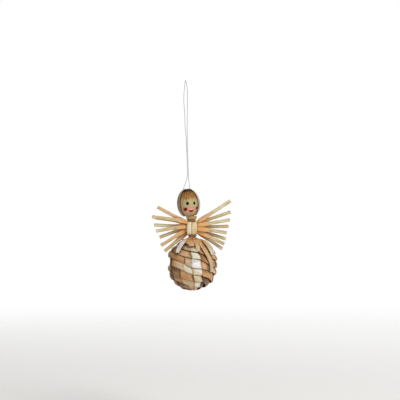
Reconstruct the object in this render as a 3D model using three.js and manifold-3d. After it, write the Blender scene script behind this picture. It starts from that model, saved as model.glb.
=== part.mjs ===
// A straw angel that hangs from a thread loop: egg-shaped head, wings of whole straws, plaited bulb skirt.
// Millimetres, +Z up. The origin is the top of the thread loop, the angel faces -Y.
import * as THREE from 'three';
import { LoftGeometry } from 'three/addons/geometries/LoftGeometry.js';
import { mergeVertices } from 'three/addons/utils/BufferGeometryUtils.js';
import Module from 'manifold-3d';

// Places below the loop's top
const BODY_X = 6.9;
const NECK_X = 6.1;
const HEAD_CENTRE = new THREE.Vector3(3.2, 0, -123.5);
const NECK_TIE_Z = -140;
const WAIST_TIE_Z = -154.7;
const CLEARANCE = 0.35;
// The share of a flattened straw's width that keeps its full thickness
const FLAT_PART = 0.62;

// Head
const HEAD_RADIUS = 10.4;
const HEAD_RISE = 15;
const HEAD_DROP = 13.2;
const HEAD_TILT = THREE.MathUtils.degToRad(-5.5);
const HEAD_TURN = THREE.MathUtils.degToRad(13);
const HEAD_RINGS = 14;
const HEAD_SEGMENTS = 20;

// Hair straws, laid over the sides and back of the head
const HAIR_COUNT = 7;
const HAIR_FIRST_ANGLE = 64;
const HAIR_SPACING = 36.3;
const HAIR_HALF_ANGLE = THREE.MathUtils.degToRad(16.4);
const HAIR_HALF_WIDTH = 3.3;
const HAIR_THICKNESS = 0.6;
const HAIR_TOP = THREE.MathUtils.degToRad(13);
const HAIR_BOTTOM = THREE.MathUtils.degToRad(146);
const HAIR_STEPS = 9;

// Collar and thread ties
const COLLAR_PLEATS = 12;
const COLLAR_PLEAT_DEPTH = 0.05;
const COLLAR_PROFILE = [
  [3.45, -141.1], [3.2, -140.5], [3.2, -139.4], [4.9, -138.3], [5.4, -136.8], [5.4, -135.2],
];
const TIE_TURNS = 3;
const TIE_THREAD = 0.55;
const NECK_TIE_RADIUS = 3.75;
const WAIST_TIE_RADIUS = 4.1;
const TIE_BACKING = 0.2;
const TIE_ARC_STEPS = 3;
const TIE_SEGMENTS = 20;

// Bodice straws, two in front and two behind the wings
const BODICE_TOP_Z = -141.4;
const BODICE_BOTTOM_Z = -153.6;
const BODICE_LEFT = { innerEdge: -0.8, side: -1, halfWidth: 2.45 };
const BODICE_RIGHT = { innerEdge: -0.45, side: 1, halfWidth: 2.8 };
const BODICE_DEPTH = 5.1;
const BODICE_SWELL = 0.5;
const BODICE_THICKNESS = 0.8;
const BODICE_TAPER = 0.18;
const BODICE_STEPS = 6;

// Wing straws, listed from the front to the back. For each side: how far the tip reaches out from the body's
// middle, the tip's height, and the height of the straw's shoulder beside the bodice
const WING_STRAWS = [
  { left: [40.3, -135.9, -141.1], right: [34.4, -151.9, -148.2] },
  { left: [36.3, -150.3, -145.9], right: [37.6, -139, -144.9] },
  { left: [34.8, -126.3, -142], right: [32, -163.2, -151.1] },
  { left: [31.3, -164.8, -149.7], right: [38.3, -120.1, -140.9] },
  { left: [37.5, -136.9, -142.3], right: [33.7, -158.3, -149.6] },
  { left: [38.3, -144.3, -146.1], right: [36.2, -145.6, -146.7] },
  { left: [27.8, -170.6, -152.9], right: [30.2, -168.4, -151.9] },
  { left: [32.8, -156.7, -147.3], right: [38.3, -131.3, -142.6] },
];
const WING_LAYER = 1.1;
const WING_SHOULDER = 6.4;
const WING_PINCH = 3.2;
const WING_PINCH_Z = -147.6;
const WING_PINCH_SHARE = 0.6;
const WING_SIDES = 8;
const WING_STEPS = 15;
const WING_HALF_WIDTH = { first: 1.65, last: 2.35, from: 4.5, to: 8 };
const WING_NARROWING = { first: 0, last: 0.75, from: 10, to: 20 };
const WING_HALF_DEPTH = { first: 0.36, last: 0.95, from: 18, to: 27 };

// Yoke straws, spread from the waist tie over the top of the plait. Each has its length, its half width, how many
// degrees it turns aside from its place round the waist, high up and again low down, and how far it lies above
// the others
const YOKE_FIRST_ANGLE = -55;
const YOKE_STRAWS = [
  { reach: 29.5, halfWidth: 3.2, high: 10, low: 0, lift: 0 },
  { reach: 21.5, halfWidth: 2.2, high: 20, low: 0, lift: 0 },
  { reach: 28, halfWidth: 2.3, high: 0, low: 0, lift: 0 },
  { reach: 49, halfWidth: 2.8, high: -17, low: 21, lift: 0 },
  { reach: 32, halfWidth: 4.7, high: -28, low: 0, lift: 1.1 },
  { reach: 25, halfWidth: 3.6, high: -20, low: 0, lift: 0 },
  { reach: 28, halfWidth: 3.6, high: -10, low: 0, lift: 0 },
  { reach: 22, halfWidth: 3.4, high: 0, low: 0, lift: 0 },
  { reach: 30, halfWidth: 3.6, high: 3, low: 12, lift: 0 },
  { reach: 10.5, halfWidth: 3.6, high: 4, low: 0, lift: 0 },
];
const YOKE_HIGH = { from: 8, to: 20 };
const YOKE_LOW = { from: 20, to: 45 };
const YOKE_PROFILE = [
  [3.1, -153.9], [3, -156.2], [5.4, -158], [9.5, -159.2], [14.8, -161.5], [19.6, -165], [23.7, -170.3],
  [25.7, -177], [26.2, -183], [26, -188], [24.9, -192.5],
];
const YOKE_HALF_ANGLE = THREE.MathUtils.degToRad(17);
const YOKE_THICKNESS = 0.7;
const YOKE_STEP = 3.6;
const YOKE_CORNERED = { from: 2, to: 18 };

// Skirt: five flattened straws plaited round a hollow bulb with four corners
const SKIRT_PROFILE = [
  [5.5, -159.9], [9.5, -161.5], [13.5, -163.8], [17.4, -167.3], [20.8, -171.8], [22.9, -177.2],
  [23.5, -183], [23.2, -188], [22.2, -192.6], [20.2, -197.3], [17.2, -201.2], [12.6, -204.4],
  [8, -206.4], [3, -207.4], [1, -207.6],
];
const SKIRT_STRAWS = 5;
const SKIRT_CORNERS = 4;
const SKIRT_FIRST_ROW = 7.65;
const SKIRT_PITCH = 7.4;
const SKIRT_ROWS = 8.6;
const SKIRT_END_GAP = 0.3;
const SKIRT_FIRST_CORNER = THREE.MathUtils.degToRad(-1);
const SKIRT_TWIST = THREE.MathUtils.degToRad(26);
const SKIRT_CORNER_SHARE = 0.11;
const SKIRT_CORNER_EDGE = 0.015;
const SKIRT_CORNER_RAISE = 0.035;
const SKIRT_FOLD_LIMIT = 0.01;
const SKIRT_CORNER_DROP = 0.1;
const SKIRT_SIDE_DROP = 1.15;
const SKIRT_SIDE_FLAT = 0.1;
const SKIRT_SIDE_STOPS = [0.36, 0.64];
const SKIRT_LEAST_STOP = 0.02;
const SKIRT_HALF_WIDTH = 4.35;
const SKIRT_THICKNESS = 0.8;
const SKIRT_LEAN = { side: 0.9, corner: 1.3, hem: 2.1, sideFrom: 0.6, hemFrom: 0.5, hemTo: 0.8 };
const SKIRT_BOW = 0.35;
// Lumps and dents: how far each stands out, and its angle and distance down the profile, with their spreads
const SKIRT_LUMPS = [
  { out: -4.2, angle: -104, angleSpread: 26, distance: 29.5, distanceSpread: 3.8 },
  { out: 1.3, angle: -98, angleSpread: 22, distance: 20, distanceSpread: 3.4 },
  { out: -1.2, angle: -110, angleSpread: 24, distance: 46, distanceSpread: 3.4 },
  { out: 0.8, angle: 66, angleSpread: 20, distance: 50, distanceSpread: 4 },
];

// Hanging thread: out of the crown, over the hanging point and back into the crown
const THREAD_DIAMETER = 0.5;
const THREAD_SIDES = 8;
const THREAD_STEPS = 74;
const THREAD_ROUTE = [
  [-2.3, 0, -108.8], [-1, 0.2, -105.3], [0.8, 0.3, -100.3], [1.95, 0.3, -96.3], [2, 0.3, -91.3],
  [1.7, 0.4, -79.3], [1.4, 0.5, -73.3], [1.1, 0.8, -64.3], [0.4, 1.5, -52.3], [-0.3, 2.4, -46.3],
  [-0.6, 3.4, -37.3], [-1.2, 4.8, -27.3], [-1.7, 6.4, -18.3], [-1.4, 7.8, -11], [-1.1, 8, -7.2],
  [-0.5, 5.6, -2.2], [0, 0, 0.25], [0.9, -5.6, -2.2], [1.7, -8, -7.2], [2, -7.8, -11], [2.1, -6.2, -18.3],
  [1.9, -4, -31.3], [1.8, -2.2, -46.3], [1.9, -1, -58.3], [2.1, -0.3, -67.3], [2.4, 0, -73.3],
  [2.7, 0, -85.3], [2.95, 0, -91.3], [3.1, 0, -96.3], [3.5, 0, -100.3], [3.9, 0, -103.8], [4.1, 0, -107.6],
];

const STRAW_GOLD = '#c8965a';
const STRAW_CREAM = '#dcc79c';
const STRAW_TAN = '#c99a6b';
const FACE_TAN = '#c9a378';
const TIE_BROWN = '#8a6236';
const THREAD_GREY = '#b9ad94';

const wasm = await Module();
wasm.setup();
const group = new THREE.Group();

function addMesh(name, geometry, colour, parent = group) {
  const material = new THREE.MeshStandardMaterial({ color: colour, roughness: 0.6, metalness: 0 });
  const mesh = new THREE.Mesh(geometry, material);
  mesh.name = name;
  parent.add(mesh);
  return mesh;
}

function toSolid(geometry) {
  const bare = new THREE.BufferGeometry().copy(geometry);
  bare.deleteAttribute('normal');
  bare.deleteAttribute('uv');
  const merged = mergeVertices(bare, 1e-4);
  const vertProperties = new Float32Array(merged.attributes.position.array);
  const triVerts = new Uint32Array(merged.index.array);
  return new wasm.Manifold(new wasm.Mesh({ numProp: 3, vertProperties, triVerts }));
}

function toGeometry(solid) {
  const mesh = solid.getMesh();
  const geometry = new THREE.BufferGeometry();
  geometry.setAttribute('position', new THREE.BufferAttribute(mesh.vertProperties, 3));
  geometry.setIndex(new THREE.BufferAttribute(mesh.triVerts, 1));
  geometry.computeVertexNormals();
  return geometry;
}

// The section of a flattened straw: six points, across the width and out through the thickness
function flatSection(halfWidth, thickness, bow = 0) {
  const edge = FLAT_PART;
  const outline = [[1, 0], [edge, 1], [-edge, 1], [-1, 0], [-edge, -1], [edge, -1]];
  return outline.map(([across, out]) => [
    across * halfWidth,
    out * thickness / 2 + bow * (1 - across * across),
  ]);
}

function ovalSection(halfWidth, halfDepth) {
  return Array.from({ length: WING_SIDES }, (_, i) => {
    const angle = i / WING_SIDES * 2 * Math.PI;
    return [halfWidth * Math.cos(angle), halfDepth * Math.sin(angle)];
  });
}

// A straw through stations that each have a centre, an outward direction and a section
function strawAlong(stations) {
  const sections = stations.map((station, i) => {
    const before = stations[Math.max(i - 1, 0)].centre;
    const after = stations[Math.min(i + 1, stations.length - 1)].centre;
    const along = after.clone().sub(before).normalize();
    const across = station.out.clone().cross(along).normalize();
    const out = along.clone().cross(across).normalize();
    return station.section.map(([side, raised]) =>
      station.centre.clone().addScaledVector(across, side).addScaledVector(out, raised));
  });
  return new LoftGeometry(sections, { capStart: true, capEnd: true });
}

function headPoint(polar, azimuth, offset) {
  const rise = polar < Math.PI / 2 ? HEAD_RISE : HEAD_DROP;
  const normal = new THREE.Vector2(Math.sin(polar) / HEAD_RADIUS, Math.cos(polar) / rise).normalize();
  const radius = HEAD_RADIUS * Math.sin(polar) + normal.x * offset;
  const height = rise * Math.cos(polar) + normal.y * offset;
  const sine = Math.sin(azimuth);
  const cosine = Math.cos(azimuth);
  return {
    centre: new THREE.Vector3(radius * sine, -radius * cosine, height),
    out: new THREE.Vector3(normal.x * sine, -normal.x * cosine, normal.y),
    radius,
  };
}

function headGeometry() {
  const profile = Array.from({ length: HEAD_RINGS + 1 }, (_, i) => {
    const polar = Math.PI * (1 - i / HEAD_RINGS);
    const { radius, centre } = headPoint(polar, 0, 0);
    return new THREE.Vector2(i === 0 || i === HEAD_RINGS ? 0 : radius, centre.z);
  });
  return new THREE.LatheGeometry(profile, HEAD_SEGMENTS).rotateX(Math.PI / 2);
}

function hairStraw(azimuth) {
  const stations = Array.from({ length: HAIR_STEPS + 1 }, (_, i) => {
    const polar = THREE.MathUtils.lerp(HAIR_TOP, HAIR_BOTTOM, i / HAIR_STEPS);
    const { centre, out, radius } = headPoint(polar, azimuth, CLEARANCE + HAIR_THICKNESS / 2);
    const halfWidth = Math.min(HAIR_HALF_WIDTH, radius * Math.tan(HAIR_HALF_ANGLE));
    return { centre, out, section: flatSection(halfWidth, HAIR_THICKNESS) };
  });
  return strawAlong(stations);
}

function buildHead() {
  const pivot = new THREE.Group();
  pivot.position.copy(HEAD_CENTRE);
  pivot.rotation.set(0, HEAD_TILT, HEAD_TURN);
  group.add(pivot);
  addMesh('head', headGeometry(), FACE_TAN, pivot);
  for (let i = 0; i < HAIR_COUNT; i++) {
    const azimuth = THREE.MathUtils.degToRad(HAIR_FIRST_ANGLE + i * HAIR_SPACING);
    addMesh(`hair_straw_${i + 1}`, hairStraw(azimuth), STRAW_CREAM, pivot);
  }
  pivot.updateMatrixWorld();
  return pivot;
}

// The gathered straws under the head: a pleated cup, hollowed above to the shape of the head
function buildCollar(pivot) {
  const sections = COLLAR_PROFILE.map(([radius, z]) =>
    Array.from({ length: COLLAR_PLEATS * 2 }, (_, i) => {
      const angle = i / COLLAR_PLEATS * Math.PI;
      const pleated = radius * (1 - COLLAR_PLEAT_DEPTH * (i % 2));
      return new THREE.Vector3(NECK_X + pleated * Math.cos(angle), pleated * Math.sin(angle), z);
    }));
  const cup = new LoftGeometry(sections, { capStart: true, capEnd: true });
  const grow = 1 + CLEARANCE / HEAD_RADIUS;
  const space = headGeometry().scale(grow, grow, grow).applyMatrix4(pivot.matrixWorld);
  addMesh('collar', toGeometry(toSolid(cup).subtract(toSolid(space))), STRAW_GOLD);
}

// Thread wound round a bundle: a ring with one bulge for each turn
function tieGeometry(innerRadius) {
  const profile = [];
  const height = TIE_TURNS * TIE_THREAD;
  profile.push(new THREE.Vector2(innerRadius, -height / 2));
  for (let turn = 0; turn < TIE_TURNS; turn++) {
    for (let i = turn === 0 ? 0 : 1; i <= TIE_ARC_STEPS; i++) {
      const angle = Math.PI * (i / TIE_ARC_STEPS - 0.5);
      const z = (turn + 0.5) * TIE_THREAD - height / 2 + Math.sin(angle) * TIE_THREAD / 2;
      profile.push(new THREE.Vector2(innerRadius + TIE_BACKING + Math.cos(angle) * TIE_THREAD / 2, z));
    }
  }
  profile.push(new THREE.Vector2(innerRadius, height / 2));
  profile.push(profile[0].clone());
  return new THREE.LatheGeometry(profile, TIE_SEGMENTS).rotateX(Math.PI / 2);
}

function buildTies() {
  addMesh('neck_tie', tieGeometry(NECK_TIE_RADIUS), TIE_BROWN).position.set(NECK_X, 0, NECK_TIE_Z);
  addMesh('waist_tie', tieGeometry(WAIST_TIE_RADIUS), TIE_BROWN).position.set(BODY_X, 0, WAIST_TIE_Z);
}

function bodiceStraw({ innerEdge, side, halfWidth }, face) {
  const stations = Array.from({ length: BODICE_STEPS + 1 }, (_, i) => {
    const share = i / BODICE_STEPS;
    const swell = Math.sin(Math.PI * share);
    const depth = face * (BODICE_DEPTH + BODICE_SWELL * swell);
    const z = THREE.MathUtils.lerp(BODICE_TOP_Z, BODICE_BOTTOM_Z, share);
    const taper = 1 - BODICE_TAPER * (1 - Math.sqrt(Math.max(swell, 0)));
    return {
      centre: new THREE.Vector3(BODY_X + innerEdge + side * halfWidth * taper, depth, z),
      out: new THREE.Vector3(0, face, 0),
      section: flatSection(halfWidth * taper, BODICE_THICKNESS),
    };
  });
  return strawAlong(stations);
}

function buildBodice() {
  addMesh('bodice_straw_front_left', bodiceStraw(BODICE_LEFT, -1), STRAW_CREAM);
  addMesh('bodice_straw_front_right', bodiceStraw(BODICE_RIGHT, -1), STRAW_CREAM);
  addMesh('bodice_straw_back_left', bodiceStraw(BODICE_LEFT, 1), STRAW_CREAM);
  addMesh('bodice_straw_back_right', bodiceStraw(BODICE_RIGHT, 1), STRAW_CREAM);
}

function easedSize({ first, last, from, to }, distance) {
  return THREE.MathUtils.lerp(first, last, THREE.MathUtils.smoothstep(distance, from, to));
}

// One straw from the left wing's tip to the right wing's, pressed flat where it crosses the body
function wingStraw(straw, depth) {
  const pinchHeight = (shoulder) => THREE.MathUtils.lerp(WING_PINCH_Z, shoulder, WING_PINCH_SHARE);
  const halfRoute = ([reach, tip, shoulder], side) => [
    new THREE.Vector3(BODY_X + side * reach, depth, tip),
    new THREE.Vector3(BODY_X + side * WING_SHOULDER, depth, shoulder),
    new THREE.Vector3(BODY_X + side * WING_PINCH, depth, pinchHeight(shoulder)),
  ];
  const points = [...halfRoute(straw.left, -1), ...halfRoute(straw.right, 1).reverse()];
  const route = new THREE.CatmullRomCurve3(points, false, 'centripetal');
  const stations = Array.from({ length: WING_STEPS + 1 }, (_, i) => {
    const centre = route.getPointAt(i / WING_STEPS);
    const distance = Math.abs(centre.x - BODY_X);
    const halfWidth = easedSize(WING_HALF_WIDTH, distance) - easedSize(WING_NARROWING, distance);
    const section = ovalSection(halfWidth, easedSize(WING_HALF_DEPTH, distance));
    return { centre, out: new THREE.Vector3(0, -1, 0), section };
  });
  return strawAlong(stations);
}

function buildWings() {
  const middle = (WING_STRAWS.length - 1) / 2;
  WING_STRAWS.forEach((straw, i) => {
    addMesh(`wing_straw_${i + 1}`, wingStraw(straw, (i - middle) * WING_LAYER), STRAW_GOLD);
  });
}

function profileCurve(points) {
  return new THREE.SplineCurve(points.map(([radius, z]) => new THREE.Vector2(radius, z)));
}

// How far an angle is along one of the skirt's sides: 0 at a corner's fold, 1 in the side's middle
function alongSide(angle) {
  const quarters = (angle - SKIRT_FIRST_CORNER) * SKIRT_CORNERS / (2 * Math.PI);
  const fromCorner = Math.abs(quarters - Math.round(quarters));
  return Math.max(fromCorner - SKIRT_CORNER_SHARE, 0) / (0.5 - SKIRT_CORNER_SHARE);
}

// The skirt's radius at an angle, as a share of its radius at the corners, where the folds stand out
function cornerShare(angle) {
  const side = alongSide(angle);
  const raise = side > SKIRT_FOLD_LIMIT ? SKIRT_CORNER_RAISE : 0;
  return 1 - raise - SKIRT_SIDE_FLAT * Math.sin(side * Math.PI / 2);
}

// How far a plaited straw's lower edge stands out and its upper edge in, most of all at the hem
function skirtLean(angle, share) {
  const { side, corner, hem, sideFrom, hemFrom, hemTo } = SKIRT_LEAN;
  const lean = THREE.MathUtils.lerp(corner, side, THREE.MathUtils.smoothstep(alongSide(angle), 0, sideFrom));
  return THREE.MathUtils.lerp(lean, hem, THREE.MathUtils.smoothstep(share, hemFrom, hemTo));
}

// How far the lumps and dents move a place of the skirt outwards
function lumpHeight(angle, distance) {
  return SKIRT_LUMPS.reduce((sum, lump) => {
    const turns = angle / (2 * Math.PI) - lump.angle / 360;
    const aside = (turns - Math.round(turns)) * 360 / lump.angleSpread;
    const below = (distance - lump.distance) / lump.distanceSpread;
    return sum + lump.out * Math.exp(-aside * aside - below * below);
  }, 0);
}

function skirtPoint(curve, distance, angle, offset) {
  const share = THREE.MathUtils.clamp(distance / curve.getLength(), 0, 1);
  const point = curve.getPointAt(share);
  const tangent = curve.getTangentAt(share);
  const raised = offset + lumpHeight(angle, distance);
  const radius = point.x * cornerShare(angle) - tangent.y * raised;
  const z = point.y + tangent.x * raised;
  const twisted = angle + SKIRT_TWIST * share;
  return new THREE.Vector3(BODY_X + radius * Math.sin(twisted), -radius * Math.cos(twisted), z);
}

function yokeStraw(curve, firstAngle, { reach, halfWidth, high, low, lift }) {
  const steps = Math.ceil(reach / YOKE_STEP);
  const stations = Array.from({ length: steps + 1 }, (_, i) => {
    const along = reach * i / steps;
    const at = along / curve.getLength();
    const point = curve.getPointAt(at);
    const tangent = curve.getTangentAt(at);
    const turned = THREE.MathUtils.smoothstep(along, YOKE_HIGH.from, YOKE_HIGH.to);
    const aside = high * turned + low * THREE.MathUtils.smoothstep(along, YOKE_LOW.from, YOKE_LOW.to);
    const angle = THREE.MathUtils.degToRad(firstAngle + aside);
    const spread = THREE.MathUtils.smoothstep(along, YOKE_CORNERED.from, YOKE_CORNERED.to);
    const radius = point.x * THREE.MathUtils.lerp(1, cornerShare(angle), spread) - tangent.y * lift * turned;
    const z = point.y + tangent.x * lift * turned;
    return {
      centre: new THREE.Vector3(BODY_X + radius * Math.sin(angle), -radius * Math.cos(angle), z),
      out: new THREE.Vector3(-tangent.y * Math.sin(angle), tangent.y * Math.cos(angle), tangent.x),
      section: flatSection(Math.min(halfWidth, radius * Math.tan(YOKE_HALF_ANGLE)), YOKE_THICKNESS),
    };
  });
  return strawAlong(stations);
}

function buildYoke() {
  const curve = profileCurve(YOKE_PROFILE);
  YOKE_STRAWS.forEach((straw, i) => {
    const firstAngle = YOKE_FIRST_ANGLE + i * 360 / YOKE_STRAWS.length;
    addMesh(`yoke_straw_${i + 1}`, yokeStraw(curve, firstAngle, straw), STRAW_TAN);
  });
}

// Rows that a straw has come down after some quarter turns: nearly level across a fold, steep along a side
function rowsDown(quarters) {
  const corner = Math.round(quarters);
  const past = quarters - corner;
  const beyond = Math.abs(past) - SKIRT_CORNER_SHARE;
  const perCorner = SKIRT_CORNER_DROP + SKIRT_SIDE_DROP;
  if (beyond < 0) {
    return corner * perCorner + past * SKIRT_CORNER_DROP / (2 * SKIRT_CORNER_SHARE);
  }
  const sideSlope = SKIRT_SIDE_DROP / (1 - 2 * SKIRT_CORNER_SHARE);
  return corner * perCorner + Math.sign(past) * (SKIRT_CORNER_DROP / 2 + beyond * sideSlope);
}

// The turning places of one straw, in quarter turns: the edges of each corner's fold and two between corners
function skirtStops(start, end) {
  const outer = SKIRT_CORNER_SHARE + SKIRT_CORNER_EDGE;
  const places = [-outer, -SKIRT_CORNER_SHARE, SKIRT_CORNER_SHARE, outer, ...SKIRT_SIDE_STOPS];
  const stops = [];
  for (let corner = Math.floor(start) - 1; corner <= Math.ceil(end); corner++) {
    stops.push(...places.map((place) => corner + place));
  }
  const within = (stop) => stop > start + SKIRT_LEAST_STOP && stop < end - SKIRT_LEAST_STOP;
  return [start, ...stops.filter(within), end];
}

function skirtStraw(curve, index) {
  const perCorner = SKIRT_CORNER_DROP + SKIRT_SIDE_DROP;
  const last = curve.getLength() - SKIRT_END_GAP;
  const stops = skirtStops(-index / perCorner, (SKIRT_ROWS - index) / perCorner);
  const sections = stops.map((quarters) => {
    const angle = SKIRT_FIRST_CORNER + quarters * 2 * Math.PI / SKIRT_CORNERS;
    const middle = SKIRT_FIRST_ROW + SKIRT_PITCH * (rowsDown(quarters) + index);
    const lean = skirtLean(angle, middle / curve.getLength()) / SKIRT_HALF_WIDTH;
    const top = middle - SKIRT_HALF_WIDTH;
    const width = Math.min(middle + SKIRT_HALF_WIDTH, last) - top;
    return flatSection(0.5, SKIRT_THICKNESS, SKIRT_BOW).map(([across, out]) => {
      const distance = top + (0.5 - across) * width;
      return skirtPoint(curve, distance, angle, out - lean * (middle - distance));
    });
  });
  return new LoftGeometry(sections, { capStart: true, capEnd: true });
}

function buildSkirt() {
  const curve = profileCurve(SKIRT_PROFILE);
  for (let i = 0; i < SKIRT_STRAWS; i++) {
    addMesh(`skirt_straw_${i + 1}`, skirtStraw(curve, i), STRAW_TAN);
  }
}

function buildThread() {
  const route = new THREE.CatmullRomCurve3(THREAD_ROUTE.map((point) => new THREE.Vector3(...point)));
  const outline = Array.from({ length: THREAD_SIDES }, (_, i) => {
    const angle = i / THREAD_SIDES * 2 * Math.PI;
    return new THREE.Vector2(Math.cos(angle), Math.sin(angle)).multiplyScalar(THREAD_DIAMETER / 2);
  });
  const options = { steps: THREAD_STEPS, extrudePath: route };
  addMesh('hanging_thread', new THREE.ExtrudeGeometry(new THREE.Shape(outline), options), THREAD_GREY);
}

buildCollar(buildHead());
buildTies();
buildBodice();
buildWings();
buildYoke();
buildSkirt();
buildThread();

export default group;
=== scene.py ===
import logging
import math
from dataclasses import dataclass
from enum import Enum, IntEnum

import bmesh
import bpy
import numpy as np
from mathutils import Matrix, Vector


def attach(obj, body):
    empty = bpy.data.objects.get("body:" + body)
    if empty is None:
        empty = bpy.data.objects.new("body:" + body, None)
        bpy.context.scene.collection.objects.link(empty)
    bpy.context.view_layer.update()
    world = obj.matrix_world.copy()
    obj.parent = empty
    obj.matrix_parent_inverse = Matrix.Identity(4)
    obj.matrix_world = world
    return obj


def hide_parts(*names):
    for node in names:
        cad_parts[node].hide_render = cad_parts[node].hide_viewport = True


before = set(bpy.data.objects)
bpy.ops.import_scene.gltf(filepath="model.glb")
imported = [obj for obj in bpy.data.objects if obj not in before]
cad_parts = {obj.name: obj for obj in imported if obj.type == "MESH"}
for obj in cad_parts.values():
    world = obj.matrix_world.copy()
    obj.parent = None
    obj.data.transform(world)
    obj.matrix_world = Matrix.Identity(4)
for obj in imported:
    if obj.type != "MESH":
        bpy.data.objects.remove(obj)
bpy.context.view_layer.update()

log = logging.getLogger("straw_angel")

Array = np.ndarray
Number = np.ndarray | float
Colour = tuple[int, int, int]
Span = tuple[float, float]
Material = bpy.types.Material
Socket = bpy.types.NodeSocket

# Sizes are in millimetres, as in the part's source, and become metres when a mesh is made.
MM = 0.001
BODY_X = 6.9
CLEARANCE = 0.35
TURN = 2 * math.pi
# A straw's map is 1 unit across the straw and 1 unit for each 10 mm along it.
ALONG_UNIT = 10.0
MAP_NAME = "straw"
TONE_NAME = "tone"


class Shade(float, Enum):
    """Named places on the range of straw colours, from scorched brown to silvery white."""

    BROWN = 0.0
    OLIVE = 0.2
    ORANGE = 0.4
    GOLD = 0.5
    PINK = 0.62
    KHAKI = 0.72
    CREAM = 0.82
    SILVER = 1.0


class Spacing(float, Enum):
    """How a line through points spaces its knots: evenly, or by the root of their distance."""

    EVEN = 0.0
    ROOT = 0.5


def srgb(colour: Colour) -> tuple[float, float, float, float]:
    """Turns a colour of 0 to 255 in each channel into Blender's linear values.

    Args:
        colour: Red, green and blue.

    Returns:
        The linear colour with an alpha of 1.
    """
    shares = [channel / 255 for channel in colour]
    linear = [share / 12.92 if share <= 0.04045 else ((share + 0.055) / 1.055) ** 2.4 for share in shares]
    return (*linear, 1.0)


def ease(value: Number, start: float, end: float) -> Number:
    """Returns a smooth rise from 0 at start to 1 at end, read at value."""
    share = np.clip((value - start) / (end - start), 0, 1)
    return share * share * (3 - 2 * share)


def mix(low: Number, high: Number, share: Number) -> Number:
    """Returns the value that lies at a share of the way from low to high."""
    return low + (high - low) * share


def bell(value: Array, width: float) -> Array:
    """Returns 1 where value is 0, falling off smoothly over a width."""
    return np.exp(-(value / width) ** 2)


def unit(vectors: Array) -> Array:
    """Returns vectors brought to a length of 1."""
    return vectors / np.linalg.norm(vectors, axis=-1, keepdims=True)


def run_lengths(points: Array) -> Array:
    """Returns how far each point lies along a run of points."""
    return np.concatenate([[0.0], np.cumsum(np.linalg.norm(np.diff(points, axis=0), axis=1))])


def round_body(radius: Array, angle: Array, height: Array) -> Array:
    """Returns places round the body's axis, at angles from the front."""
    return np.stack([BODY_X + radius * np.sin(angle), -radius * np.cos(angle), height], axis=-1)


class Line:
    """A smooth line through points, read by the distance along it."""

    def __init__(self, dense: Array) -> None:
        """Measures a line.

        Args:
            dense: Points close together along it.
        """
        self.dense = dense
        self.at = run_lengths(dense)
        self.length = float(self.at[-1])
        self.slopes = np.gradient(dense, self.at, axis=0)

    def read(self, table: Array, distance: Array) -> Array:
        """Reads a table with a row for each dense point at distances along the line."""
        return np.stack([np.interp(distance, self.at, column) for column in table.T], axis=-1)

    def points(self, distance: Array) -> Array:
        """Returns the places at distances along the line."""
        return self.read(self.dense, distance)

    def directions(self, distance: Array) -> Array:
        """Returns the unit directions at distances along the line."""
        return unit(self.read(self.slopes, distance))

    @classmethod
    def through(cls, points: tuple | list, spacing: Spacing, per_span: int = 40) -> "Line":
        """Makes a Catmull-Rom line.

        Args:
            points: The points it goes through.
            spacing: How it spaces its knots.
            per_span: Dense points between two given ones.

        Returns:
            The line.
        """
        given = np.array(points, float)
        ends = given[0], given[-1]
        if spacing is Spacing.ROOT:
            ends = 2 * given[0] - given[1], 2 * given[-1] - given[-2]
        padded = np.vstack([ends[0], given, ends[1]])
        t = np.arange(per_span)[:, None] / per_span
        dense = []
        for p0, p1, p2, p3 in zip(padded, padded[1:], padded[2:], padded[3:]):
            a, b, c = (np.linalg.norm(step) ** spacing.value for step in (p1 - p0, p2 - p1, p3 - p2))
            v1 = ((p1 - p0) / a - (p2 - p0) / (a + b) + (p2 - p1) / b) * b
            v2 = ((p2 - p1) / b - (p3 - p1) / (b + c) + (p3 - p2) / c) * b
            square, cube = -3 * p1 + 3 * p2 - 2 * v1 - v2, 2 * p1 - 2 * p2 + v1 + v2
            dense.append(p1 + v1 * t + square * t ** 2 + cube * t ** 3)
        return cls(np.vstack([*dense, given[-1:]]))


@dataclass
class Skin:
    """A closed skin through rings of points, with a map of across and along, and a tone."""

    rings: Array
    across: Array
    along: Array
    tone: Array
    wraps: bool = False
    sharp: float = 50.0

    def make(self, name: str, material: Material) -> bpy.types.Object:
        """Builds the mesh object.

        Args:
            name: The piece's name.
            material: Its finish.

        Returns:
            The object, at the origin.
        """
        stations, sides, _ = self.rings.shape
        corner = np.arange(sides)
        after = (corner + 1) % sides
        base = (np.arange(stations - 1) * sides)[:, None]
        quads = np.stack([base + corner, base + after, base + sides + after, base + sides + corner], axis=-1)
        caps = [corner[::-1].tolist(), (corner + (stations - 1) * sides).tolist()]
        mesh = bpy.data.meshes.new(name)
        mesh.from_pydata((self.rings.reshape(-1, 3) * MM).tolist(), [], quads.reshape(-1, 4).tolist() + caps)
        next_across = np.where(after == 0, 1.0, self.across[after]) if self.wraps else self.across[after]
        u = np.broadcast_to(np.stack([self.across, next_across, next_across, self.across], axis=-1), quads.shape)
        low, high = self.along[:-1, None], self.along[1:, None]
        v = np.broadcast_to(np.stack([low, low, high, high], axis=-1), quads.shape)
        pairs = np.stack([
            np.concatenate([u.reshape(-1), self.across[::-1], self.across]),
            np.concatenate([v.reshape(-1), np.repeat(self.along[[0, -1]], sides)]) / ALONG_UNIT,
        ], axis=-1)
        mesh.uv_layers.new(name=MAP_NAME).data.foreach_set("uv", pairs.astype(np.float32).ravel())
        tones = np.broadcast_to(self.tone if self.tone.ndim == 2 else self.tone[:, None], (stations, sides))
        attribute = mesh.attributes.new(TONE_NAME, "FLOAT", "POINT")
        attribute.data.foreach_set("value", tones.astype(np.float32).ravel())
        return finish_mesh(name, mesh, material, self.sharp)


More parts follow.
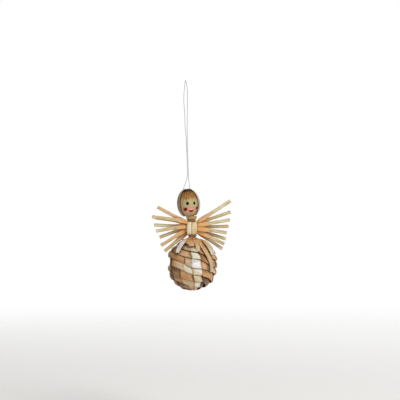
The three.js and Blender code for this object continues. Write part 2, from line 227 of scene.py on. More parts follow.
def linked(name: str, data: bpy.types.ID) -> bpy.types.Object:
    """Makes an object and links it to the scene.

    Args:
        name: Its name.
        data: Its mesh, camera or light.

    Returns:
        The object.
    """
    made = bpy.data.objects.new(name, data)
    bpy.context.scene.collection.objects.link(made)
    return made


def finish_mesh(name: str, mesh: bpy.types.Mesh, material: Material, sharp: float) -> bpy.types.Object:
    """Turns faces outwards, smooths them but for sharp edges, and links the object.

    Args:
        name: The piece's name.
        mesh: Its mesh.
        material: Its finish.
        sharp: Edges above this angle in degrees stay sharp.

    Returns:
        The linked object.
    """
    work = bmesh.new()
    work.from_mesh(mesh)
    bmesh.ops.recalc_face_normals(work, faces=work.faces)
    work.to_mesh(mesh)
    work.free()
    mesh.polygons.foreach_set("use_smooth", [True] * len(mesh.polygons))
    mesh.set_sharp_from_angle(angle=math.radians(sharp))
    mesh.materials.append(material)
    return linked(name, mesh)


def dress(piece: bpy.types.Object, slot: str, *nodes: str) -> None:
    """Puts a piece in the place of CAD nodes.

    Args:
        piece: The new piece.
        slot: The record's material slot, which is not used.
        nodes: The nodes that it stands for.
    """
    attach(piece, "root")
    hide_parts(*nodes)
    log.info("%s stands for %s with %d faces", piece.name, ", ".join(nodes), len(piece.data.polygons))


class Tree:
    """Short ways to add and join nodes in a shader or geometry tree."""

    def __init__(self, tree: bpy.types.NodeTree) -> None:
        """Keeps the tree that the nodes go into."""
        self.tree = tree

    def add(self, kind: str, inputs: dict | None = None, **settings: object) -> bpy.types.Node:
        """Adds a node.

        Args:
            kind: Blender's name for the node.
            inputs: Values or sockets, by the input's name or number.
            settings: The node's own settings.

        Returns:
            The node.
        """
        node = self.tree.nodes.new(kind)
        for key, value in settings.items():
            setattr(node, key, value)
        for key, value in (inputs or {}).items():
            self.put(value, node.inputs[key])
        return node

    def put(self, value: object, socket: Socket) -> None:
        """Joins a socket to an input, or sets the input's own value.

        Args:
            value: The socket or the value.
            socket: The input.
        """
        if isinstance(value, Socket):
            self.tree.links.new(value, socket)
        else:
            socket.default_value = value

    def maths(self, operation: str, *values: object) -> Socket:
        """Adds a Math node and returns its result."""
        return self.add("ShaderNodeMath", dict(enumerate(values)), operation=operation).outputs[0]

    def attribute(self, name: str) -> Socket:
        """Reads one of the mesh's own attributes."""
        return self.add("ShaderNodeAttribute", attribute_name=name).outputs["Fac"]

    def noise(self, place: Socket, scale: float, detail: float, roughness: float = 0.5) -> Socket:
        """Adds a Noise node and returns its value."""
        inputs = {"Vector": place, "Scale": scale, "Detail": detail, "Roughness": roughness}
        return self.add("ShaderNodeTexNoise", inputs).outputs[0]

    def emboss(self, shader: bpy.types.Node, height: Socket, strength: float, depth: float) -> None:
        """Presses a height into a shader's surface, at most a depth in millimetres."""
        bump = self.add("ShaderNodeBump", {"Strength": strength, "Distance": depth * MM, "Height": height})
        self.put(bump.outputs[0], shader.inputs["Normal"])

    def range(self, value: Socket, low: float | Socket, high: float | Socket, to: Span) -> Socket:
        """Adds a smooth Map Range node.

        Args:
            value: What it reads.
            low: Where it starts.
            high: Where it ends.
            to: The results at the two ends.

        Returns:
            Its result.
        """
        inputs = {"Value": value, "From Min": low, "From Max": high, "To Min": to[0], "To Max": to[1]}
        return self.add("ShaderNodeMapRange", inputs, interpolation_type="SMOOTHSTEP").outputs["Result"]

    def blend(self, share: Socket, below: Socket | Colour, above: Socket | Colour, how: str = "MIX") -> Socket:
        """Adds a colour Mix node.

        Args:
            share: How much of the upper colour shows.
            below: The lower colour.
            above: The upper colour.
            how: Blender's blend type.

        Returns:
            The mixed colour.
        """
        node = self.add("ShaderNodeMix", data_type="RGBA", blend_type=how)
        self.put(share, node.inputs["Factor"])
        for label, colour in (("A", below), ("B", above)):
            self.put(srgb(colour) if isinstance(colour, tuple) else colour, node.inputs[label])
        return node.outputs["Result"]

    def ramp(self, value: Socket, stops: tuple) -> Socket:
        """Adds a colour ramp.

        Args:
            value: What it reads.
            stops: Pairs of place and colour.

        Returns:
            Its colour.
        """
        node = self.add("ShaderNodeValToRGB", {"Fac": value})
        elements = node.color_ramp.elements
        while len(elements) < len(stops):
            elements.new(0.5)
        for element, (place, colour) in zip(elements, stops):
            element.position, element.color = place, srgb(colour)
        return node.outputs["Color"]


def new_group(name: str, inputs: dict) -> tuple[Tree, bpy.types.NodeOutputs]:
    """Starts a shader node group.

    Args:
        name: The group's name.
        inputs: The defaults of its inputs by name, numbers or vectors.

    Returns:
        The group's helper, and its inputs as sockets to read.
    """
    group = bpy.data.node_groups.new(name, "ShaderNodeTree")
    for label, default in inputs.items():
        kind = "NodeSocketVector" if isinstance(default, tuple) else "NodeSocketFloat"
        group.interface.new_socket(label, in_out="INPUT", socket_type=kind).default_value = default
    tree = Tree(group)
    return tree, tree.add("NodeGroupInput").outputs


def end_group(tree: Tree, results: dict[str, Socket]) -> bpy.types.NodeTree:
    """Gives a shader node group its outputs.

    Args:
        tree: The group's helper.
        results: What it puts out, by name.

    Returns:
        The group.
    """
    for label in results:
        tree.tree.interface.new_socket(label, in_out="OUTPUT", socket_type="NodeSocketFloat")
    tree.add("NodeGroupOutput", results)
    return tree.tree


class SharedEffects:
    """The node groups that several finishes use."""

    noise_span: Span = (0.3, 0.7)
    crack_width: float = 0.035
    crack_depth: float = 0.6
    edge_span: Span = (0.8, 1.0)
    front_fade: Span = (-1.0, 1.0)
    fuzz_scale: float = 3000.0

    def __init__(self) -> None:
        """Builds each group once."""
        self.grain, self.spot, self.ply = self.grain_group(), self.spot_group(), self.ply_group()

    def grain_group(self) -> bpy.types.NodeTree:
        """Makes the fibres and blotches of a straw, along its own map.

        Returns:
            The group.
        """
        tree, given = new_group("straw_grain", {"Fibres Across": 26.0, "Fibre Stretch": 0.5, "Blotch Size": 1.2})
        parts = tree.add("ShaderNodeSeparateXYZ", {0: tree.add("ShaderNodeUVMap", uv_map=MAP_NAME).outputs["UV"]})
        u, v = parts.outputs["X"], parts.outputs["Y"]
        # Across, along, layer of the noise, detail and roughness of the fibres, cracks and blotches.
        fibre, crack, blotch = (
            tree.noise(tree.add("ShaderNodeCombineXYZ", {
                "X": tree.maths("MULTIPLY", u, across), "Y": tree.maths("MULTIPLY", v, along), "Z": layer,
            }).outputs[0], 1.0, detail, roughness)
            for across, along, layer, detail, roughness in (
                (given["Fibres Across"], given["Fibre Stretch"], 0.0, 3.0, 0.6),
                (7.0, 0.3, 4.7, 1.0, 0.4),
                (1.5, given["Blotch Size"], 9.1, 2.0, 0.5),
            )
        )
        off_crack = tree.maths("ABSOLUTE", tree.maths("SUBTRACT", crack, 0.5))
        crack_line = tree.range(off_crack, 0.0, self.crack_width, (1.0, 0.0))
        # How near a straw's edge a place is, for the painted shade along its edges.
        from_middle = tree.maths("ABSOLUTE", tree.maths("SUBTRACT", tree.maths("MULTIPLY", u, 2.0), 1.0))
        return end_group(tree, {
            "Fibre": tree.range(fibre, *self.noise_span, (0.0, 1.0)),
            "Crack": crack_line,
            "Blotch": tree.range(blotch, *self.noise_span, (0.0, 1.0)),
            "Edge": tree.range(from_middle, *self.edge_span, (0.0, 1.0)),
            "Height": tree.maths("SUBTRACT", fibre, tree.maths("MULTIPLY", crack_line, self.crack_depth)),
        })

    def spot_group(self) -> bpy.types.NodeTree:
        """Makes a painted spot: an oval in the plane of the face, with a soft edge.

        Returns:
            The group.
        """
        tree, given = new_group("painted_spot", {
            "Place": (0.0, 0.0, 0.0), "Centre Across": 0.0, "Centre Up": 0.0, "Half Width": 1.0,
            "Half Height": 1.0, "Slant": 0.0, "Softness": 0.15,
        })
        parts = tree.add("ShaderNodeSeparateXYZ", {0: given["Place"]})
        across = tree.maths("SUBTRACT", parts.outputs["X"], given["Centre Across"])
        up = tree.maths("SUBTRACT", parts.outputs["Z"], given["Centre Up"])
        leaned = tree.maths("SUBTRACT", across, tree.maths("MULTIPLY", up, given["Slant"]))
        wide = tree.maths("POWER", tree.maths("DIVIDE", leaned, given["Half Width"]), 2.0)
        tall = tree.maths("POWER", tree.maths("DIVIDE", up, given["Half Height"]), 2.0)
        inside, outside = (tree.maths(how, 1.0, given["Softness"]) for how in ("SUBTRACT", "ADD"))
        oval = tree.range(tree.maths("SQRT", tree.maths("ADD", wide, tall)), inside, outside, (1.0, 0.0))
        in_front = tree.range(parts.outputs["Y"], *self.front_fade, (1.0, 0.0))
        return end_group(tree, {"Mask": tree.maths("MULTIPLY", oval, in_front)})

    def ply_group(self) -> bpy.types.NodeTree:
        """Makes the light and dark of twisted yarn from a thread's own measures.

        Returns:
            The group.
        """
        tree, given = new_group("thread_ply", {"Turns": 1.0})
        turned = tree.maths("MULTIPLY_ADD", tree.attribute("along"), given["Turns"], tree.attribute("around"))
        wave = tree.maths("SINE", tree.maths("MULTIPLY", turned, TURN))
        place = tree.add("ShaderNodeTexCoord").outputs["Object"]
        return end_group(tree, {
            "Ply": tree.maths("MULTIPLY_ADD", wave, 0.5, 0.5),
            "Fuzz": tree.noise(place, self.fuzz_scale, 2.0),
        })


def new_material(name: str) -> tuple[Material, Tree, bpy.types.Node]:
    """Makes a material with its one shader.

    Args:
        name: The material's name.

    Returns:
        The material, its helper and its shader.
    """
    material = bpy.data.materials.new(name)
    material.use_nodes = True
    material.node_tree.nodes.clear()
    tree = Tree(material.node_tree)
    shader = tree.add("ShaderNodeBsdfPrincipled")
    tree.add("ShaderNodeOutputMaterial", {"Surface": shader.outputs[0]})
    return material, tree, shader


@dataclass(frozen=True)
class StrawFinish:
    """Satin straw that runs from brown through gold to silvery white by its tone, with painted shade along its edges
    and in its crevices.
    """

    name: str
    fibres: float = 26.0
    tone_drift: float = 0.22
    streak_share: float = 0.6
    colours: tuple = (
        (Shade.BROWN, (80, 46, 18)), (Shade.OLIVE, (146, 112, 64)), (Shade.ORANGE, (194, 140, 90)),
        (Shade.GOLD, (206, 158, 104)), (Shade.PINK, (210, 174, 140)), (Shade.KHAKI, (196, 184, 142)),
        (Shade.CREAM, (216, 204, 168)), (Shade.SILVER, (226, 226, 222)),
    )
    crack: Colour = (120, 74, 34)
    crack_strength: float = 0.55
    # Painted shade: a brown laid along a straw's edges, where it curves away from the light.
    edge: Colour = (128, 84, 44)
    edge_shade_strength: float = 0.35
    # Painted shade: a brown multiplied in where other straws hide a place from light, within a reach in millimetres.
    crevice_shade_colour: Colour = (96, 52, 20)
    crevice_shade_reach: float = 3.0
    crevice_shade_span: Span = (0.3, 0.9)
    crevice_shade_strength: float = 0.8
    roughness: Span = (0.54, 0.36)
    relief: float = 0.6
    depth: float = 0.12
    coat: float = 0.12
    coat_roughness: float = 0.3

    def make(self, effects: SharedEffects) -> Material:
        """Builds the material.

        Args:
            effects: The shared node groups.

        Returns:
            The material.
        """
        material, tree, shader = new_material(self.name)
        grain = tree.add("ShaderNodeGroup", {"Fibres Across": self.fibres}, node_tree=effects.grain).outputs
        drift = tree.maths("MULTIPLY", tree.maths("SUBTRACT", grain["Blotch"], 0.5), self.tone_drift)
        streak = tree.maths(
            "MULTIPLY", tree.maths("SUBTRACT", grain["Fibre"], 0.5), self.tone_drift * self.streak_share
        )
        place = tree.maths("ADD", tree.maths("ADD", tree.attribute(TONE_NAME), drift), streak)
        colour = tree.ramp(place, self.colours)
        colour = tree.blend(tree.maths("MULTIPLY", grain["Crack"], self.crack_strength), colour, self.crack)
        # Painted shade along the straw's edges.
        colour = tree.blend(tree.maths("MULTIPLY", grain["Edge"], self.edge_shade_strength), colour, self.edge)
        # Painted shade in crevices and gaps: the less open a place is, the more of the brown it gets.
        openness = tree.add("ShaderNodeAmbientOcclusion", {"Distance": self.crevice_shade_reach * MM}, samples=8)
        painted_crevice_shade = tree.range(openness.outputs["AO"], *self.crevice_shade_span, (self.crevice_shade_strength, 0.0))
        tree.put(tree.blend(painted_crevice_shade, colour, self.crevice_shade_colour, "MULTIPLY"), shader.inputs["Base Color"])
        tree.put(tree.range(grain["Fibre"], 0.0, 1.0, self.roughness), shader.inputs["Roughness"])
        tree.emboss(shader, grain["Height"], self.relief, self.depth)
        shader.inputs["Coat Weight"].default_value = self.coat
        shader.inputs["Coat Roughness"].default_value = self.coat_roughness
        return material


GOLDEN_STRAW = (
    (Shade.BROWN, (96, 62, 26)), (Shade.OLIVE, (156, 120, 62)), (Shade.ORANGE, (214, 150, 80)),
    (Shade.GOLD, (224, 168, 96)), (Shade.PINK, (214, 176, 132)), (Shade.KHAKI, (188, 176, 128)),
    (Shade.CREAM, (212, 202, 160)), (Shade.SILVER, (222, 220, 202)),
)
KHAKI_STRAW = (
    (Shade.BROWN, (104, 76, 34)), (Shade.ORANGE, (168, 132, 74)), (Shade.PINK, (190, 158, 100)),
    (Shade.SILVER, (206, 184, 134)),
)
PALE_STRAW = (
    (Shade.BROWN, (120, 80, 38)), (Shade.PINK, (214, 176, 122)), (Shade.CREAM, (224, 198, 148)),
    (Shade.SILVER, (226, 220, 194)),
)
# A greyer, darker straw for the hair strips on the head's sides: partly their own colour, partly painted shade on
# those sides.
GREY_AND_SHADED_STRAW = (
    (Shade.BROWN, (70, 56, 38)), (Shade.ORANGE, (134, 120, 92)), (Shade.PINK, (160, 146, 118)),
    (Shade.CREAM, (190, 178, 150)), (Shade.SILVER, (206, 198, 178)),
)


@dataclass(frozen=True)
class ThreadFinish:
    """Matt twisted yarn."""

    name: str
    light: Colour
    dark: Colour
    turns: float = 900.0
    fuzz: float = 0.4
    relief: float = 0.5
    depth: float = 0.05
    roughness: float = 0.85

    def make(self, effects: SharedEffects) -> Material:
        """Builds the material.

        Args:
            effects: The shared node groups.

        Returns:
            The material.
        """
        material, tree, shader = new_material(self.name)
        yarn = tree.add("ShaderNodeGroup", {"Turns": self.turns}, node_tree=effects.ply).outputs
        # Painted shade: the dark colour lies in the grooves between the plies, where the bump sinks; the fuzz varies
        # it at random.
        ply = tree.maths("MULTIPLY", yarn["Ply"], 1 - self.fuzz)
        share = tree.maths("MULTIPLY_ADD", yarn["Fuzz"], self.fuzz, ply)
        tree.put(tree.blend(share, self.dark, self.light), shader.inputs["Base Color"])
        tree.emboss(shader, share, self.relief, self.depth)
        shader.inputs["Roughness"].default_value = self.roughness
        return material


@dataclass
class ThreadTube:
    """Geometry Nodes that draw a round thread along a line of points."""

    name: str = "thread_tube"
    sides: int = 10
    lobe: float = 0.08

    def tree(self) -> bpy.types.NodeTree:
        """Builds the node tree.

        Returns:
            The tree, with named inputs for its sizes.
        """
        group = bpy.data.node_groups.new(self.name, "GeometryNodeTree")
        for label, kind in (
            ("Geometry", "Geometry"), ("Thread Radius", "Float"), ("Twist", "Float"), ("Sides", "Int"),
            ("Finish", "Material"),
        ):
            group.interface.new_socket(label, in_out="INPUT", socket_type=f"NodeSocket{kind}")
        group.interface.new_socket("Geometry", in_out="OUTPUT", socket_type="NodeSocketGeometry")
        tree = Tree(group)
        given = tree.add("NodeGroupInput").outputs
        measure = tree.add("GeometryNodeSplineParameter").outputs
        line = tree.add("GeometryNodeMeshToCurve", {"Mesh": given["Geometry"]})
        tilted = tree.add("GeometryNodeSetCurveTilt", {
            "Curve": line.outputs[0], "Tilt": tree.maths("MULTIPLY", measure["Length"], given["Twist"]),
        })
        circle = tree.add("GeometryNodeCurvePrimitiveCircle", {
            "Resolution": given["Sides"], "Radius": given["Thread Radius"],
        })
        measured, ringed = (
            tree.add("GeometryNodeStoreNamedAttribute", {
                "Geometry": curve.outputs[0], "Name": name, "Value": value,
            }, data_type="FLOAT", domain="POINT").outputs[0]
            for curve, name, value in ((tilted, "along", measure["Length"]), (circle, "around", measure["Factor"]))
        )
        lobed = tree.add("GeometryNodeTransform", {
            "Geometry": ringed, "Scale": (1 + self.lobe, 1 - self.lobe, 1.0),
        })
        tube = tree.add("GeometryNodeCurveToMesh", {
            "Curve": measured, "Profile Curve": lobed.outputs[0], "Fill Caps": True,
        })
        smooth = tree.add("GeometryNodeSetShadeSmooth", {"Geometry": tube.outputs[0]})
        real = tree.add("GeometryNodeRealizeInstances", {"Geometry": smooth.outputs[0]})
        finished = tree.add("GeometryNodeSetMaterial", {
            "Geometry": real.outputs[0], "Material": given["Finish"],
        })
        tree.add("NodeGroupOutput", {0: finished.outputs[0]})
        return group

    def make(self, name: str, path: Array, diameter: float, twist: float, material: Material) -> bpy.types.Object:
        """Draws a thread along a line of points, as a plain mesh.

        Args:
            name: The piece's name.
            path: The line's points, in millimetres.
            diameter: The thread's diameter in millimetres.
            twist: Turns in each millimetre.
            material: Its finish.

        Returns:
            The object, at the origin.
        """
        guide_mesh = bpy.data.meshes.new(name + "_guide")
        guide_mesh.from_pydata((path * MM).tolist(), [(i, i + 1) for i in range(len(path) - 1)], [])
        guide = linked(name + "_guide", guide_mesh)
        modifier = guide.modifiers.new(self.name, "NODES")
        modifier.node_group = bpy.data.node_groups.get(self.name) or self.tree()
        values = {
            "Thread Radius": diameter / 2 * MM, "Twist": twist * TURN / MM, "Sides": self.sides,
            "Finish": material,
        }
        for item in modifier.node_group.interface.items_tree:
            if item.in_out == "INPUT" and item.name in values:
                modifier[item.identifier] = values[item.name]
        depsgraph = bpy.context.evaluated_depsgraph_get()
        mesh = bpy.data.meshes.new_from_object(guide.evaluated_get(depsgraph), depsgraph=depsgraph)
        mesh.name = name
        bpy.data.objects.remove(guide)
        bpy.data.meshes.remove(guide_mesh)
        return linked(name, mesh)


def flat_outline(half_width: float, thickness: float, bow: float, count: int = 9) -> tuple[Array, Array]:
    """Gives the outline of a flattened straw, across and out.

    Args:
        half_width: Half of its width.
        thickness: Its full thickness.
        bow: How far its middle stands out.
        count: Points on each face.

    Returns:
        The outline's points, and their share of the width.
    """
    squareness = 6
    places = np.sin(np.linspace(-0.5, 0.5, count) * math.pi)
    swell = np.sqrt(np.clip(1 - np.abs(places) ** squareness, 0, 1)) * thickness / 2
    upper = np.stack([places[::-1], swell[::-1]], axis=-1)
    lower = np.stack([places[1:-1], -swell[1:-1]], axis=-1)
    outline = np.vstack([upper, lower])
    across = outline[:, 0].copy()
    outline[:, 1] += bow * (1 - across ** 2)
    outline[:, 0] *= half_width
    return outline, (across + 1) / 2


def swept(centres: Array, outs: Array, outline: Array, widths: Array) -> Array:
    """Carries an outline of half width 1 along centres.

    Args:
        centres: The middle of each section.
        outs: Roughly outward directions.
        outline: The outline's points, across and out.
        widths: The half width of each section.

    Returns:
        The rings of points.
    """
    sections = np.stack([outline * (width, 1.0) for width in widths])
    along = unit(np.gradient(centres, axis=0))
    across = unit(np.cross(outs, along))
    out = np.cross(along, across)
    return centres[:, None] + across[:, None] * sections[..., :1] + out[:, None] * sections[..., 1:]


@dataclass
class HangingThread:
    """The loop that the ornament hangs by: out of the crown, over the hanging point and back."""

    tube: ThreadTube
    yarn: Material
    diameter: float = 0.5
    twist: float = 0.45
    steps: int = 900
    points: tuple = (
        (-2.3, 0, -108.8), (-1, 0.2, -105.3), (0.8, 0.3, -100.3), (1.95, 0.3, -96.3), (2, 0.3, -91.3),
        (1.7, 0.4, -79.3), (1.4, 0.5, -73.3), (1.1, 0.8, -64.3), (0.4, 1.5, -52.3), (-0.3, 2.4, -46.3),
        (-0.6, 3.4, -37.3), (-1.2, 4.8, -27.3), (-1.7, 6.4, -18.3), (-1.4, 7.8, -11), (-1.1, 8, -7.2),
        (-0.5, 5.6, -2.2), (0, 0, 0.25), (0.9, -5.6, -2.2), (1.7, -8, -7.2), (2, -7.8, -11), (2.1, -6.2, -18.3),
        (1.9, -4, -31.3), (1.8, -2.2, -46.3), (1.9, -1, -58.3), (2.1, -0.3, -67.3), (2.4, 0, -73.3),
        (2.7, 0, -85.3), (2.95, 0, -91.3), (3.1, 0, -96.3), (3.5, 0, -100.3), (3.9, 0, -103.8), (4.1, 0, -107.6),
    )

    def build(self) -> None:
        line = Line.through(self.points, Spacing.ROOT)
        path = line.points(np.linspace(0, line.length, self.steps))
        piece = self.tube.make("thread_loop", path, self.diameter, self.twist, self.yarn)
        dress(piece, "thread", "hanging_thread")


@dataclass
class PaintedHead:
    """The egg-shaped ball with its painted face, and the straws laid over its sides and back."""

    centre: tuple[float, float, float] = (3.2, 0.0, -123.5)
    radius: float = 10.4
    rise: float = 15.0
    drop: float = 13.2
    tilt: float = -5.5
    turn: float = 13.0
    rings: int = 72
    segments: int = 96
    pole_gap: float = 0.02
    hair_first: float = 64.0
    hair_spacing: float = 36.3
    hair_half_angle: float = 16.4
    hair_half_width: float = 3.3
    hair_thickness: float = 0.6
    hair_bow: float = 0.12
    hair_polar: Span = (13.0, 146.0)
    hair_steps: int = 48
    hair_tones: tuple = (0.95, 0.5, 0.62, 0.4, 0.66, 0.5, 0.5)
    grain_step: float = 31.0

    def turned(self) -> Matrix:
        """Returns how the head is turned from upright."""
        return Matrix.Rotation(math.radians(self.tilt), 3, "Y") @ Matrix.Rotation(math.radians(self.turn), 3, "Z")

    def surface(self, polar: Array, azimuth: float, offset: float) -> tuple[Array, Array, Array]:
        """Reads the egg's surface.

        Args:
            polar: Angles from the top.
            azimuth: Angle round from the front.
            offset: Height above the surface.

        Returns:
            Places, outward directions and radii.
        """
        height = np.where(polar < math.pi / 2, self.rise, self.drop)
        normal = unit(np.stack([np.sin(polar) / self.radius, np.cos(polar) / height], axis=-1))
        radius = self.radius * np.sin(polar) + normal[:, 0] * offset
        up = height * np.cos(polar) + normal[:, 1] * offset
        sine, cosine = math.sin(azimuth), math.cos(azimuth)
        places = np.stack([radius * sine, -radius * cosine, up], axis=-1)
        outs = np.stack([normal[:, 0] * sine, -normal[:, 0] * cosine, normal[:, 1]], axis=-1)
        return places, outs, radius

    def placed(self, places: Array) -> Array:
        """Moves points from the head's own frame to the part's."""
        return places @ np.array(self.turned()).T + np.array(self.centre)

    def build(self, ball: Material, straw: Material) -> None:
        """Makes the ball and the hair straws.

        Args:
            ball: The painted finish.
            straw: The straws' finish.
        """
        polar = np.linspace(self.pole_gap, math.pi - self.pole_gap, self.rings)
        azimuths = np.linspace(0, TURN, self.segments, endpoint=False)
        rings = np.stack([self.surface(polar, angle, 0)[0] for angle in azimuths], axis=1)
        skin = Skin(
            rings=self.placed(rings), across=azimuths / TURN, along=self.radius * polar,
            tone=np.full(self.rings, Shade.CREAM.value), wraps=True,
        )
        dress(skin.make("painted_head", ball), "painted_ball", "head")
        for i, tone in enumerate(self.hair_tones):
            self.build_hair(i, tone, straw)

    def build_hair(self, index: int, tone: float, straw: Material) -> None:
        """Makes one hair straw.

        Args:
            index: Its place round the head.
            tone: Its tone.
            straw: Its finish.
        """
        polar = np.radians(np.linspace(*self.hair_polar, self.hair_steps))
        azimuth = math.radians(self.hair_first + index * self.hair_spacing)
        places, outs, radius = self.surface(polar, azimuth, CLEARANCE + self.hair_thickness / 2)
        outline, across = flat_outline(1.0, self.hair_thickness, self.hair_bow)
        half = np.minimum(self.hair_half_width, radius * math.tan(math.radians(self.hair_half_angle)))
        skin = Skin(
            rings=swept(self.placed(places), outs @ np.array(self.turned()).T, outline, half), across=across,
            along=self.radius * (polar - polar[0]) + self.grain_step * index, tone=np.full(self.hair_steps, tone),
        )
        dress(skin.make(f"hair_strip_{index + 1}", straw), "pale_straw", f"hair_straw_{index + 1}")


@dataclass(frozen=True)
class Spot:
    """A painted mark: its place from the head's middle as it is seen, its half sizes, and its colour."""

    across: float
    up: float
    half_width: float
    half_height: float
    colour: Colour
    strength: float = 1.0
    slant: float = 0.0
    softness: float = 0.15


@dataclass(frozen=True)
class PaintedFinish:
    """Pale varnished wood with painted hair, eyes, cheeks and mouth."""

    head: PaintedHead
    effects: SharedEffects
    name: str = "painted_face"
    skin: Colour = (172, 152, 104)
    chin: Colour = (182, 150, 112)
    chin_span: Span = (-12.0, -4.0)
    mottle: Colour = (166, 150, 98)
    mottle_scale: float = 0.35
    mottle_span: Span = (0.35, 0.7)
    mottle_strength: float = 0.35
    hair: Colour = (170, 122, 64)
    hair_dark: Colour = (116, 72, 26)
    hair_dark_span: Span = (5.0, 12.0)
    hair_dark_strength: float = 0.55
    streak_stretch: tuple[float, float, float] = (0.9, 0.9, 0.09)
    streak_span: Span = (0.35, 0.65)
    streak_strength: float = 0.8
    fringe_span: Span = (3.6, 6.8)
    fringe_unevenness: float = 7.0
    fringe_strength: float = 0.94
    crown: Colour = (40, 18, 4)
    crown_span: Span = (11.8, 13.0)
    gloss_span: Span = (0.3, 0.7)
    roughness: Span = (0.42, 0.55)
    specular: float = 0.15
    brush_scale: float = 1.8
    relief: float = 0.25
    depth: float = 0.1
    washes: tuple = (
        Spot(2.2, 0.3, 2.6, 4.4, (178, 174, 118), 0.8, 0.0, 0.5),
        Spot(1.5, 4.6, 4.6, 1.6, (186, 162, 104), 0.7, 0.0, 0.5),
        Spot(-1.3, 0.2, 2.8, 3.2, (190, 168, 142), 0.7, 0.0, 0.45),
        Spot(6.2, 0.6, 2.4, 3.4, (198, 178, 142), 0.7, 0.0, 0.45),
        Spot(1.8, -6.0, 6.2, 3.4, (208, 146, 118), 0.85, 0.0, 0.45),
        Spot(1.6, -5.0, 3.4, 2.0, (222, 148, 130), 0.7, 0.0, 0.5),
        # A painted highlight: a pale spot beside the mouth, where light glints on the paint.
        Spot(3.1, -4.9, 1.7, 0.8, (236, 172, 156), 0.7, 0.0, 0.5),
        Spot(0.6, -9.6, 3.6, 2.0, (176, 150, 120), 0.6, 0.0, 0.5),
    )
    marks: tuple = (
        Spot(-1.0, 0.8, 1.5, 1.75, (18, 8, 2)),
        # A painted highlight: a paler glint in the eye on the left.
        Spot(-0.3, 1.3, 0.45, 0.6, (84, 74, 50), 0.6, 0.0, 0.6),
        Spot(5.75, 1.05, 1.3, 1.75, (20, 10, 2)),
        Spot(-3.0, -5.1, 1.75, 1.65, (98, 16, 4)),
        Spot(8.2, -3.6, 1.0, 1.7, (96, 28, 8), 1.0, 0.35),
    )
    mouth: Spot = Spot(2.75, -6.1, 2.15, 1.75, (104, 22, 12))
    mouth_lift: float = 1.9
    mouth_widening: float = 1.15

    def make(self) -> Material:
        """Builds the material.

        Returns:
            The material.
        """
        material, tree, shader = new_material(self.name)
        place = tree.add("ShaderNodeMapping", {
            "Vector": tree.add("ShaderNodeTexCoord").outputs["Object"],
            "Location": Vector(self.head.centre) * MM,
            "Rotation": self.head.turned().to_euler("XYZ"),
            "Scale": (MM, MM, MM),
        }, vector_type="TEXTURE").outputs[0]
        up = tree.add("ShaderNodeSeparateXYZ", {0: place}).outputs["Z"]
        mottle = tree.noise(place, self.mottle_scale, 4.0, 0.6)
        colour = tree.blend(tree.range(up, *self.chin_span, (1.0, 0.0)), self.skin, self.chin)
        mottled = tree.range(mottle, *self.mottle_span, (0.0, self.mottle_strength))
        colour = tree.blend(mottled, colour, self.mottle)
        for wash in self.washes:
            colour = tree.blend(self.mask(tree, place, wash), colour, wash.colour)
        colour = self.hair_layers(tree, place, up, colour)
        for mark in self.marks:
            colour = tree.blend(self.mask(tree, place, mark), colour, mark.colour)
        colour = tree.blend(self.smile(tree, place), colour, self.mouth.colour)
        tree.put(colour, shader.inputs["Base Color"])
        tree.put(tree.range(mottle, *self.gloss_span, self.roughness), shader.inputs["Roughness"])
        tree.emboss(shader, tree.noise(place, self.brush_scale, 3.0), self.relief, self.depth)
        shader.inputs["Specular IOR Level"].default_value = self.specular
        return material

    def hair_layers(self, tree: Tree, place: Socket, up: Socket, below: Socket) -> Socket:
        """Paints the forehead's fringe and the dark crown over a colour.

        Args:
            tree: The material's helper.
            place: The place in the head's own frame, in millimetres.
            up: Its height.
            below: The colour under the hair.

        Returns:
            The colour with the hair on it.
        """
        stretched = tree.add("ShaderNodeMapping", {"Vector": place, "Scale": self.streak_stretch}).outputs[0]
        streak = tree.noise(stretched, 1.0, 2.0, 0.6)
        uneven = tree.maths("MULTIPLY", tree.maths("SUBTRACT", streak, 0.5), self.fringe_unevenness)
        edge = tree.maths("ADD", up, uneven)
        streaked = tree.range(streak, *self.streak_span, (0.0, self.streak_strength))
        darker = tree.range(up, *self.hair_dark_span, (0.0, self.hair_dark_strength))
        fringe = tree.blend(darker, tree.blend(streaked, self.hair, self.hair_dark), self.hair_dark)
        covered = tree.range(edge, *self.fringe_span, (0.0, self.fringe_strength))
        painted = tree.blend(covered, below, fringe)
        return tree.blend(tree.range(edge, *self.crown_span, (0.0, 1.0)), painted, self.crown)

    def mask(self, tree: Tree, place: Socket, spot: Spot) -> Socket:
        """Places one spot on the face.

        Args:
            tree: The material's helper.
            place: The place in the head's own frame, in millimetres.
            spot: The mark.

        Returns:
            How much of the mark shows.
        """
        across, up = self.on_face(spot.across, spot.up)
        node = tree.add("ShaderNodeGroup", {
            "Place": place, "Centre Across": across, "Centre Up": up, "Half Width": spot.half_width,
            "Half Height": spot.half_height, "Slant": spot.slant, "Softness": spot.softness,
        }, node_tree=self.effects.spot)
        return tree.maths("MULTIPLY", node.outputs["Mask"], spot.strength)

    def smile(self, tree: Tree, place: Socket) -> Socket:
        """Cuts a smile from an oval by a higher oval.

        Args:
            tree: The material's helper.
            place: The place in the head's own frame, in millimetres.

        Returns:
            How much of the mouth shows.
        """
        lips = self.mouth
        wider = lips.half_width * self.mouth_widening
        above = Spot(lips.across, lips.up + self.mouth_lift, wider, lips.half_height, lips.colour)
        lower, upper = self.mask(tree, place, lips), self.mask(tree, place, above)
        return tree.maths("MULTIPLY", lower, tree.maths("SUBTRACT", 1.0, upper))

    def on_face(self, across: float, up: float) -> Span:
        """Finds a seen place on the face in the head's own frame.

        Args:
            across: How far right of the head's middle it is seen.
            up: How far above the middle it is seen.

        Returns:
            The place across and up in the head's own frame.
        """
        back = np.array(self.head.turned()).T
        start, step = back @ (across, 0, up), back @ (0, 1, 0)
        sizes = (self.head.radius, self.head.radius, self.head.rise if start[2] > 0 else self.head.drop)
        flat_start, flat_step = start / sizes, step / sizes
        a, b, c = flat_step @ flat_step, 2 * flat_start @ flat_step, flat_start @ flat_start - 1
        depth = (-b - math.sqrt(max(b * b - 4 * a * c, 0))) / (2 * a)
        found = start + step * depth
        return float(found[0]), float(found[2])


